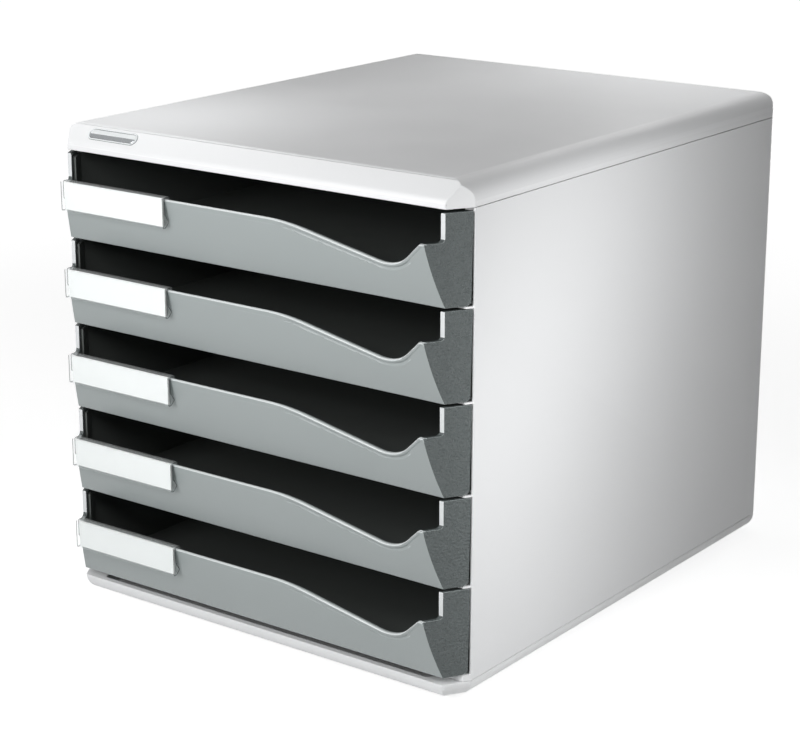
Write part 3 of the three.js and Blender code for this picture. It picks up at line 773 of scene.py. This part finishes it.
# %% Panels and back
PANELS = ("right_side_panel", "left_side_panel", "back_panel")
PANEL_SOFTNESS = 0.35 * MM
FOOT_SOFTNESS = 0.2 * MM
SOLID_WELD = 0.001 * MM
SOLID_BEVEL_STEPS = 2


def soften_solid(name, finish, width):
    node = frame["nodes"][name]
    soft_edges(node, width, SOLID_BEVEL_STEPS, SOLID_WELD)
    weighted = node.modifiers.new("normals", "WEIGHTED_NORMAL")
    weighted.keep_sharp = True
    wear(node, finish)


for panel in PANELS:
    soften_solid(panel, housing_white, PANEL_SOFTNESS)
for foot in FEET:
    soften_solid(foot, foot_rubber, FOOT_SOFTNESS)
print("packed solids with soft edges:", len(PANELS) + len(FEET))

# %% [markdown]
# Every drawer is the same, so each of its pieces is made once, at the height of zero, and then copied up to
# its level with the lift baked into the mesh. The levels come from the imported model.

# %% Levels of the drawers
drawer_names = sorted(name for name in frame["bodies"] if name.startswith("drawer_"))
levels = {name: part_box(name + "_front")[0].z for name in drawer_names}
DRAWER_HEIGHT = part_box("drawer_1_front")[1].z - levels["drawer_1"]
print({name: round(level, 4) for name, level in levels.items()})


def place_copies(pattern, part, stands_in):
    for drawer, level in levels.items():
        twin = pattern.copy()
        twin.data = pattern.data.copy()
        twin.data.transform(Matrix.Translation((0, 0, level)))
        twin.name = f"{drawer}_{part}_look"
        twin.data.name = twin.name
        bpy.context.scene.collection.objects.link(twin)
        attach(twin, drawer)
        if stands_in:
            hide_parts(f"{drawer}_{part}")
    print(part, "has", len(pattern.data.polygons), "faces, in", len(levels), "copies")
    bpy.data.objects.remove(pattern)


# %% [markdown]
# The tray is a box whose front wall leans forward and whose front corners are cut at an angle. Like the
# cover it is two forms kept within each other, the plan and the long section, once for the outside and
# once, moved inwards by the wall, for the inside. The front wall is low, so that paper can be seen and
# reached. A nub near the rear of each side wall stops the drawer before it falls out.

# %% Tray
TRAY_WALL = 1.8 * MM
TRAY_FLOOR_RADIUS = 3 * MM
TRAY_REAR_RADIUS = 8 * MM
TRAY_FRONT_HEIGHT = 18 * MM
TRAY_SHOULDER = 2.5 * MM
FACE_HEIGHT = 34.5 * MM
FACE_LEAN = 10.2 * MM
FACE_THICKNESS = 2.4 * MM
CHEEK_WIDTH = 3 * MM
LEAN = math.atan(FACE_LEAN / FACE_HEIGHT)
FACE_LENGTH = FACE_HEIGHT / math.cos(LEAN)
STOP_LENGTH = 4 * MM
STOP_PROUD = 1.5 * MM
STOP_ROOT = 1 * MM
STOP_SETBACK = 40 * MM
TRAY_SOFTNESS = 0.4 * MM
TRAY_BEVEL_STEPS = 2
tray_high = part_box("drawer_5_tray")[1]
TRAY_HALF = tray_high.x
TRAY_REAR = tray_high.y
STOP_TOP = tray_high.z - levels["drawer_5"]
TRAY_TOP = STOP_TOP - STOP_PROUD
TRAY_FRONT = FRONT + (FACE_THICKNESS + CLEARANCE) / math.cos(LEAN)


def tray_form(inset, top):
    cheek_inner = FRONT_HALF - CHEEK_WIDTH - CLEARANCE * math.hypot(1, CORNER_SLOPE)
    cheek_end = FRONT + (TRAY_HALF - cheek_inner) / CORNER_SLOPE
    nose = cheek_inner - CORNER_SLOPE * FACE_LEAN
    plan = outline([
        (-nose, FRONT - FACE_LEAN),
        (nose, FRONT - FACE_LEAN),
        (TRAY_HALF, cheek_end),
        (TRAY_HALF, TRAY_REAR, TRAY_REAR_RADIUS),
        (-TRAY_HALF, TRAY_REAR, TRAY_REAR_RADIUS),
        (-TRAY_HALF, cheek_end),
    ], inset)
    high = top + inset
    bend = TRAY_FLOOR_RADIUS + TRAY_WALL
    lengthwise = outline([
        (TRAY_FRONT, 0, bend),
        (TRAY_REAR, 0, bend),
        (TRAY_REAR, high),
        (TRAY_FRONT - math.tan(LEAN) * high, high),
    ], inset)
    return keep(prism(plan, "Z", 0, top),
                prism(lengthwise, "X", -TRAY_HALF - OVERRUN, TRAY_HALF + OVERRUN))


above_front = block((-TRAY_HALF - OVERRUN, TRAY_HALF + OVERRUN),
                    (FRONT - FACE_LEAN - OVERRUN, FRONT + TRAY_SHOULDER),
                    (TRAY_FRONT_HEIGHT, TRAY_TOP + OVERRUN))
stop = block((TRAY_HALF - TRAY_WALL, TRAY_HALF),
             (TRAY_REAR - STOP_SETBACK - STOP_LENGTH, TRAY_REAR - STOP_SETBACK),
             (TRAY_TOP - STOP_ROOT, STOP_TOP))
tray = cut(tray_form(0.0, TRAY_TOP), tray_form(TRAY_WALL, TRAY_TOP + OVERRUN), above_front)
fuse(tray, mirrored(stop), stop)
soften(tray, TRAY_SOFTNESS, TRAY_BEVEL_STEPS)
wear(tray, tray_charcoal)
place_copies(tray, "tray", True)

# %% [markdown]
# The front is the piece that gives the unit its look. Its face is drawn flat, with x to the right and y up
# the slant, and then laid onto the slanted plane. The top edge is a wave: a long shoulder, a straight fall,
# a finger dip and a steep rise to a tip. The wave is an outline like any other, whose corners have large
# radii, so each of its bends can be changed by itself.

# %% Sizes of the front
SHOULDER_INSET = 97.4 * MM
SHOULDER_RADIUS = 130 * MM
DIP_INSET = 26.2 * MM
DIP_DEPTH = 15.5 * MM
DIP_RADIUS = 21.5 * MM
TIP_INSET = 9 * MM
TIP_RADIUS = 2 * MM
BEAD_RADIUS = 1.1 * MM
BEAD_PROUD = 0.4 * MM
ONTO_FACE = Matrix((
    (1, 0, 0, 0),
    (0, -math.sin(LEAN), -math.cos(LEAN), FRONT),
    (0, math.cos(LEAN), -math.sin(LEAN), 0),
    (0, 0, 0, 1),
))


def face_outline(inset):
    reach = FRONT_HALF + BEAD_RADIUS + OVERRUN
    return outline([
        (-reach, -BEAD_RADIUS - OVERRUN),
        (reach, -BEAD_RADIUS - OVERRUN),
        (reach, FACE_LENGTH),
        (FRONT_HALF - TIP_INSET, FACE_LENGTH, TIP_RADIUS),
        (FRONT_HALF - DIP_INSET, FACE_LENGTH - DIP_DEPTH / math.cos(LEAN), DIP_RADIUS),
        (FRONT_HALF - SHOULDER_INSET, FACE_LENGTH, SHOULDER_RADIUS),
        (-reach, FACE_LENGTH),
    ], inset)


print("the face is", round(FACE_LENGTH / MM, 1), "mm long up its slant, and leans by",
      round(math.degrees(LEAN), 1), "degrees")

# %% [markdown]
# The face isn't quite flat: it swells a little between its foot and its top, so that light falls off down
# its height. A parabola gives that swell at any height, and every piece that touches the face asks the same
# function.

# %% Swell of the face
FACE_SWELL = 0.8 * MM
SWELL_STEPS = 12


def swell(up):
    share = min(1.0, max(0.0, up / FACE_LENGTH))
    return FACE_SWELL * (1 - (2 * share - 1) ** 2)


def swell_line(offset=0.0):
    ups = [FACE_LENGTH * step / SWELL_STEPS for step in range(SWELL_STEPS + 1)]
    return [Vector((up, swell(up) + offset)) for up in ups]


def leaned(up, out):
    point = ONTO_FACE @ Vector((0, up, out))
    return Vector((point.y, point.z))


print("swell at half height:", round(swell(FACE_LENGTH / 2) / MM, 2), "mm")

# %% [markdown]
# The cheeks are the two angled plates beside the face. The whole front is carved from one block, a prism of
# the cheeks' profile kept within the housing's angled corners. One tool takes away what is behind the face,
# another what is above the wave, and both stay between the cheeks. Fusing plates would be quicker to think
# of, but it leaves surfaces in one place, and carving leaves none.

# %% Block and tools for the front
CHEEK_TOP_REAR = 13.4 * MM
CHEEK_LOW_REAR = 12.6 * MM
CHEEK_CHAMFER_RUN = 2.4 * MM
CHEEK_CHAMFER_RISE = 1.6 * MM
NOTCH_RADIUS = 2.2 * MM
EDGE_IN_BEAD = 0.6 * MM
WELL_IN_FRONT = -4 * FACE_LEAN


def corner_half(depth):
    return FRONT_HALF + CORNER_SLOPE * depth


def between_corners(inset=0.0):
    return prism(outline([
        (-corner_half(WELL_IN_FRONT), FRONT + WELL_IN_FRONT),
        (corner_half(WELL_IN_FRONT), FRONT + WELL_IN_FRONT),
        (HALF_WIDTH, FRONT + CORNER_DEPTH),
        (-HALF_WIDTH, FRONT + CORNER_DEPTH),
    ], inset), "Z", -OVERRUN, DRAWER_HEIGHT + OVERRUN)


def front_block():
    profile = outline([
        (FRONT + CHEEK_LOW_REAR - CHEEK_CHAMFER_RUN, 0),
        (FRONT + CHEEK_LOW_REAR, CHEEK_CHAMFER_RISE),
        (FRONT + CHEEK_TOP_REAR, DRAWER_HEIGHT),
        (FRONT, DRAWER_HEIGHT),
        (FRONT, FACE_HEIGHT, NOTCH_RADIUS),
    ] + [leaned(point.x, point.y) for point in swell_line()[::-1]])
    return keep(prism(profile, "X", -HALF_WIDTH - OVERRUN, HALF_WIDTH + OVERRUN), between_corners())


def between_cheeks(tool):
    near, far = WELL_IN_FRONT, CORNER_DEPTH + OVERRUN
    plan = [Vector((side * (corner_half(depth) - CHEEK_WIDTH), FRONT + depth))
            for side, depth in ((-1, near), (1, near), (1, far), (-1, far))]
    return keep(tool, prism(plan, "Z", -2 * OVERRUN, DRAWER_HEIGHT + 2 * OVERRUN))


def behind_the_face():
    inner = [leaned(-2 * OVERRUN, -FACE_THICKNESS)]
    inner += [leaned(point.x, point.y) for point in swell_line(-FACE_THICKNESS)]
    inner += [leaned(2 * FACE_LENGTH, -FACE_THICKNESS)]
    rear = FRONT + CORNER_DEPTH + 2 * OVERRUN
    section = [Vector((rear, inner[0].y)), Vector((rear, inner[-1].y))] + inner[::-1]
    return between_cheeks(prism(section, "X", -HALF_WIDTH, HALF_WIDTH))


def above_the_wave():
    wave = face_outline(BEAD_RADIUS - EDGE_IN_BEAD)[2:]
    over = [Vector((wave[-1].x, 2 * FACE_LENGTH)), Vector((wave[0].x, 2 * FACE_LENGTH))]
    tool = prism(over + wave, "Z", -2 * FACE_THICKNESS, FACE_THICKNESS)
    tool.data.transform(ONTO_FACE)
    return between_cheeks(tool)


print("the front is", round(2 * corner_half(-FACE_LEAN) / MM, 1), "mm wide at the top of its face")

# %% [markdown]
# A round bead runs along the wave, with a shallow groove under it. Both follow a path, so Geometry Nodes
# sweep them: the wave becomes a curve, and a circle runs along it. The thick sweep is the tool that cuts
# the groove, the thin one is the bead. Bead and groove fade out towards the shoulder at the left, and the
# groove also fades before the tip.

# %% Sweep along the wave
BEAD_START = FRONT_HALF - 112 * MM
BEAD_FULL = FRONT_HALF - 84 * MM
GROOVE_RADIUS = 1.6 * MM
GROOVE_DEPTH = 0.5 * MM
GROOVE_OFFSET = 1.6 * MM
GROOVE_FADE = FRONT_HALF - 20 * MM
GROOVE_END = FRONT_HALF - 13 * MM
GROOVE_RUN_IN = 4 * MM
GROOVE_RUN_OUT = 2 * MM
GROOVE_LIFT = 0.1 * MM
BEAD_SIDES = 24
GROOVE_SIDES = 48
WAVE_STEP = 2 * MM

sweep_tree, sweep_sizes = new_tree("sweep", {"Radius": "Float", "Sides": "Int"})
sweep_path = add(sweep_tree, "GeometryNodeMeshToCurve", {"Mesh": sweep_sizes["Geometry"]})
sweep_section = add(sweep_tree, "GeometryNodeCurvePrimitiveCircle", {"Resolution": sweep_sizes["Sides"],
                                                                     "Radius": sweep_sizes["Radius"]})
sweep_skin = add(sweep_tree, "GeometryNodeCurveToMesh", {"Curve": sweep_path.outputs["Curve"],
                                                         "Profile Curve": sweep_section.outputs["Curve"],
                                                         "Fill Caps": True})
end_tree(sweep_tree, sweep_skin.outputs["Mesh"], bead_highlight_silver)


def smooth_share(value, low, high):
    share = min(1.0, max(0.0, (value - low) / (high - low)))
    return share * share * (3 - 2 * share)


def wave_line(inset):
    wave = face_outline(inset)[2:]
    points = [wave[0]]
    for before, after in pairwise(wave):
        steps = max(1, math.ceil((after - before).length / WAVE_STEP))
        points += [before.lerp(after, step / steps) for step in range(1, steps + 1)]
    return points


def swept(name, points, radius, sides):
    path = piece_from(name, points, [])
    path.data.edges.add(len(points) - 1)
    path.data.edges.foreach_set("vertices", [end for pair in pairwise(range(len(points))) for end in pair])
    return grow(path, sweep_tree, {"Radius": radius, "Sides": sides})


def above_face(point, out):
    return ONTO_FACE @ Vector((point.x, point.y, out + swell(point.y)))


def groove_tool():
    points = []
    for point in wave_line(BEAD_RADIUS + GROOVE_OFFSET):
        if BEAD_START - GROOVE_RUN_IN < point.x < GROOVE_END + GROOVE_RUN_OUT:
            share = smooth_share(point.x, BEAD_START, BEAD_FULL)
            share -= smooth_share(point.x, GROOVE_FADE, GROOVE_END)
            out = GROOVE_RADIUS + GROOVE_LIFT - share * (GROOVE_DEPTH + GROOVE_LIFT)
            points.append(above_face(point, out))
    return swept("groove", points, GROOVE_RADIUS, GROOVE_SIDES)


print("the wave is followed in", len(wave_line(BEAD_RADIUS)), "points")

# %% [markdown]
# With block and tools ready, the front is carved in one go, and its edges are softened. The soft edges come
# last, because a bevel needs the final outline.

# %% Carve the front
FRONT_SOFTNESS = 0.3 * MM

front = cut(front_block(), behind_the_face(), above_the_wave(), groove_tool())
soften(front, FRONT_SOFTNESS)
print("front:", len(front.data.polygons), "faces")

# %% [markdown]
# The bead is flush with the face at the left and stands proud from the start of the fall. Its upper side is
# painted a lighter silver, a painted highlight, so a bright line runs along the wave above the shade of the
# groove.

# %% Bead along the wave
BEAD_HIGHLIGHT_UP = 0.3
BEAD_END_GAP = 0.02 * MM


def bead_middle(point):
    return above_face(point, BEAD_PROUD * smooth_share(point.x, BEAD_START, BEAD_FULL) - BEAD_RADIUS)


bead = swept("bead", [bead_middle(point) for point in wave_line(BEAD_RADIUS)], BEAD_RADIUS, BEAD_SIDES)
keep(bead, between_corners(BEAD_END_GAP))
bead.data.set_sharp_from_angle(angle=EDGE_ANGLE)
# Faces of the bead that look upwards get the painted highlight, the others the face's silver.
paint(bead, (bead_highlight_silver, face_silver), lambda polygon: int(polygon.normal.z < BEAD_HIGHLIGHT_UP))
print("bead:", len(bead.data.polygons), "faces")

# %% [markdown]
# The finish of a face of the mesh follows from where it looks. What looks along the housing's angled
# corners, and the ledge of the notch, is cheek. What looks straight forward above the slant is an upright
# edge of the same moulding, painted much lighter as a painted highlight.

# %% Finishes of the front
FACING = 0.95
SIDEWAYS = 0.5
NOTCH_FOOT = FACE_HEIGHT - 0.2 * MM
NOTCH_START = FRONT_HALF - 2 * TIP_INSET
FRONT_FINISHES = (face_silver, cheek_grey, highlight_silver)
cheek_way = Vector((CORNER_DEPTH, -CORNER_WIDTH, 0)).normalized()


def front_finish(polygon):
    way = Vector((abs(polygon.normal.x), polygon.normal.y, polygon.normal.z))
    in_notch = polygon.center.z > NOTCH_FOOT and abs(polygon.center.x) > NOTCH_START
    if way.dot(cheek_way) > FACING:
        return FRONT_FINISHES.index(cheek_grey)
    # The upright edges above the slant get the painted highlight.
    if in_notch and -way.y > FACING:
        return FRONT_FINISHES.index(highlight_silver)
    if in_notch and abs(way.x) < SIDEWAYS:
        return FRONT_FINISHES.index(cheek_grey)
    return FRONT_FINISHES.index(face_silver)


paint(front, FRONT_FINISHES, front_finish)
place_copies(front, "front", True)
place_copies(bead, "bead", False)

# %% [markdown]
# The label holder is one strip of clear plastic. In section it hooks behind the face, rolls over its top
# edge and runs straight down in front, so that the label hangs upright though the face leans. Lower down it
# bulges back until it rests on the face, turns under the card, and comes up again as the clear front of the
# pocket. The section is a middle line with rounded bends, widened to both sides. Its cut ends look darker
# than its faces, because light is caught in the sheet and leaves at the ends.

# %% Label holder
HOLDER_INSET = 6.8 * MM
HOLDER_LENGTH = 78.2 * MM
HOLDER_WALL = 0.8 * MM
HOLDER_RISE = 0.6 * MM
HOLDER_DROP = 15.4 * MM
HOLDER_HOOK = 6 * MM
HOLDER_BULGE_TOP = 7.3 * MM
HOLDER_BULGE_RISE = 2.7 * MM
HOLDER_BEND_RADIUS = 0.9 * MM
HOLDER_SOFTNESS = 0.1 * MM
HOLDER_BEVEL_STEPS = 2
CARD_THICKNESS = 0.5 * MM
HOLDER_LEFT = HOLDER_INSET - FRONT_HALF
HOLDER_RIGHT = HOLDER_LEFT + HOLDER_LENGTH
HOLDER_FOOT = FACE_HEIGHT - HOLDER_DROP
HOLDER_LEG = FRONT - FACE_LEAN - BEAD_PROUD - HOLDER_WALL / 2
HOLDER_FRONT = HOLDER_LEG - HOLDER_WALL - 2 * CLEARANCE - CARD_THICKNESS


def bent_line(corners, radius):
    points = [Vector(corner) for corner in corners]
    ways = [(after - before).normalized() for before, after in pairwise(points)]
    bends = []
    for point, before, after in zip(points[1:-1], ways, ways[1:]):
        bends += corner_arc(point, before, after, radius)
    return [points[0], *bends, points[-1]]


def strip(line, thickness):
    sides = ([], [])
    for index, point in enumerate(line):
        way = (line[min(index + 1, len(line) - 1)] - line[max(index - 1, 0)]).normalized()
        side = Vector((-way.y, way.x)) * thickness / 2
        sides[0].append(point - side)
        sides[1].append(point + side)
    return sides[0] + sides[1][::-1]


def behind_face(up):
    point = ONTO_FACE @ Vector((0, up, -FACE_THICKNESS - CLEARANCE - HOLDER_WALL / 2))
    return (point.y, point.z)


def holder_section():
    hook_top = behind_face(FACE_LENGTH + HOLDER_RISE)
    bulge = HOLDER_FOOT + HOLDER_BULGE_RISE
    out = swell(bulge / math.cos(LEAN)) + CLEARANCE + HOLDER_WALL / 2
    on_face = FRONT - FACE_LEAN * bulge / FACE_HEIGHT - out / math.cos(LEAN)
    return strip(bent_line([
        behind_face(FACE_LENGTH - HOLDER_HOOK),
        hook_top,
        (HOLDER_LEG, hook_top[1]),
        (HOLDER_LEG, HOLDER_FOOT + HOLDER_BULGE_TOP),
        (on_face, bulge),
        (on_face - HOLDER_BULGE_RISE, HOLDER_FOOT),
        (HOLDER_FRONT, HOLDER_FOOT),
        (HOLDER_FRONT, hook_top[1]),
    ], HOLDER_BEND_RADIUS), HOLDER_WALL)


holder = prism(holder_section(), "X", HOLDER_LEFT, HOLDER_RIGHT)
beside_cheek = block((-FRONT_HALF, CHEEK_WIDTH + CLEARANCE - corner_half(-FACE_LEAN)),
                     (0, FACE_LENGTH + CLEARANCE), (-FACE_LEAN, 0))
beside_cheek.data.transform(ONTO_FACE)
cut(holder, beside_cheek)
soften(holder, HOLDER_SOFTNESS, HOLDER_BEVEL_STEPS)
paint(holder, (clear_film, clear_end), lambda polygon: int(abs(polygon.normal.x) > FACING))
place_copies(holder, "label_holder", True)

# %% [markdown]
# The card is a slip of white paper that fills the pocket from its foot to its top. A block is all it needs,
# with one step of bevel so that its edges don't look cut from glass. The holder's sizes say where it
# stands.

# %% Label card
CARD_RIGHT_INSET = 0.4 * MM
CARD_LEFT_INSET = 1.7 * MM
CARD_SOFTNESS = 0.05 * MM
card_back = HOLDER_LEG - HOLDER_WALL / 2 - CLEARANCE
card = block((HOLDER_LEFT + CARD_LEFT_INSET, HOLDER_RIGHT - CARD_RIGHT_INSET),
             (card_back - CARD_THICKNESS, card_back),
             (HOLDER_FOOT + HOLDER_WALL / 2 + CLEARANCE, behind_face(FACE_LENGTH + HOLDER_RISE)[1]))
soften(card, CARD_SOFTNESS, 1)
wear(card, card_paper)
place_copies(card, "label_card", True)

# %% [markdown]
# The studio is plain. The world gives only a little even light. The background is white only for rays that
# come straight from the camera, off a glossy surface or through clear plastic, so it shows in reflections
# but adds nothing to the soft light on the unit.

# %% World
WORLD_LIGHT = 0.03
WHITE = (1, 1, 1, 1)


def larger(tree, first, second):
    return add(tree, "ShaderNodeMath", {0: first, 1: second}, operation="MAXIMUM").outputs["Value"]


def rays_that_see(tree):
    rays = add(tree, "ShaderNodeLightPath", {}).outputs
    straight = larger(tree, rays["Is Camera Ray"], rays["Is Transmission Ray"])
    return larger(tree, straight, rays["Is Glossy Ray"])


world = bpy.data.worlds.new("studio")
world.use_nodes = True
world.node_tree.nodes.clear()
bpy.context.scene.world = world
strength = add(world.node_tree, "ShaderNodeMapRange",
               {"Value": rays_that_see(world.node_tree), "To Min": WORLD_LIGHT, "To Max": 1.0})
sky = add(world.node_tree, "ShaderNodeBackground", {"Color": WHITE, "Strength": strength.outputs["Result"]})
add(world.node_tree, "ShaderNodeOutputWorld", {"Surface": sky.outputs["Background"]})
print("even light:", WORLD_LIGHT)

# %% [markdown]
# The floor is pale and plain. A floor lit by lamps alone would end in a grey line against the white
# background, so for the rays that show the background it glows, fully far away and a little less near the
# unit, where the rest of its light comes from the lamps and the unit's shadow can be seen. For the light
# that bounces off it, it is an ordinary pale floor.

# %% Floor
FLOOR_HALF = 6.0
FLOOR_PALE = (0.72, 0.72, 0.72, 1)
FLOOR_SHADED = (0.45, 0.45, 0.45, 1)
FLOOR_GLOW = 0.80
GLOW_NEAR = 0.35
GLOW_FAR = 1.1


def floor_paint():
    material = empty_material("floor")
    tree = material.node_tree
    place = add(tree, "ShaderNodeTexCoord", {}).outputs["Object"]
    distance = add(tree, "ShaderNodeVectorMath", {0: place}, operation="LENGTH")
    glow = add(tree, "ShaderNodeMapRange",
               {"Value": distance.outputs["Value"], "From Min": GLOW_NEAR, "From Max": GLOW_FAR,
                "To Min": FLOOR_GLOW, "To Max": 1.0})
    plain = add(tree, "ShaderNodeBsdfDiffuse", {"Color": FLOOR_PALE})
    shaded = add(tree, "ShaderNodeBsdfDiffuse", {"Color": FLOOR_SHADED})
    glowing = add(tree, "ShaderNodeEmission", {"Color": WHITE, "Strength": glow.outputs["Result"]})
    bright = add(tree, "ShaderNodeAddShader", {0: shaded.outputs["BSDF"], 1: glowing.outputs["Emission"]})
    mixed = add(tree, "ShaderNodeMixShader", {0: rays_that_see(tree), 1: plain.outputs["BSDF"],
                                              2: bright.outputs["Shader"]})
    return finish_material(material, mixed.outputs["Shader"])


floor = piece_from("floor", [(-FLOOR_HALF, -FLOOR_HALF, 0), (FLOOR_HALF, -FLOOR_HALF, 0),
                             (FLOOR_HALF, FLOOR_HALF, 0), (-FLOOR_HALF, FLOOR_HALF, 0)], [[0, 1, 2, 3]])
wear(floor, floor_paint())
print("floor:", 2 * FLOOR_HALF, "m across")

# %% [markdown]
# A soft lamp stands in front at the left, a little above the unit, so that its light reaches into the
# drawers and leaves the cheeks darker than the faces. A smaller one nearer by lifts the upper fronts. Small
# lamps stand close to the right side and the top. A near lamp makes a pool of light that falls off fast,
# which is what gives the white panels their slow change from bright to grey. Two more lamps fill the left
# side and the back. No lamp is seen by the camera.

# %% Lamps
FILL_SPREAD = math.radians(50)
FRONTS_MIDDLE = (0, -0.17, 0.15)


def lamp(name, place, target, size, power, spread=math.pi):
    data = bpy.data.lights.new(name, "AREA")
    data.shape = "RECTANGLE"
    data.size, data.size_y = size
    data.energy = power
    data.spread = spread
    stand = bpy.data.objects.new(name, data)
    stand.location = place
    stand.rotation_euler = (Vector(target) - Vector(place)).to_track_quat("-Z", "Y").to_euler()
    stand.visible_camera = False
    bpy.context.scene.collection.objects.link(stand)


lamp("front", place=(-0.15, -1.0, 0.42), target=FRONTS_MIDDLE, size=(0.4, 0.4), power=4.6)
lamp("front_near", place=(0.1, -0.56, 0.45), target=FRONTS_MIDDLE, size=(0.3, 0.15), power=0.95)
lamp("side_low", place=(0.34, -0.14, 0.15), target=(HALF_WIDTH, -0.12, 0.14), size=(0.12, 0.12),
     power=0.255)
lamp("side_high", place=(0.34, -0.04, 0.28), target=(HALF_WIDTH, -0.05, 0.2), size=(0.12, 0.12),
     power=0.195)
lamp("top_front", place=(-0.12, -0.12, 0.4), target=(-0.12, -0.11, TOP), size=(0.12, 0.12), power=0.095)
lamp("top_rear", place=(0.05, 0.24, 0.46), target=(0.05, 0.14, TOP), size=(0.2, 0.2), power=0.28)
lamp("left_fill", place=(-1.1, 0.0, 0.2), target=(-0.14, 0, 0.16), size=(0.4, 0.3), power=0.5,
     spread=FILL_SPREAD)
lamp("back_fill", place=(0.0, 1.3, 0.2), target=(0, 0.16, 0.16), size=(0.4, 0.3), power=0.55,
     spread=FILL_SPREAD)
print("lamps:", len(bpy.data.lights))
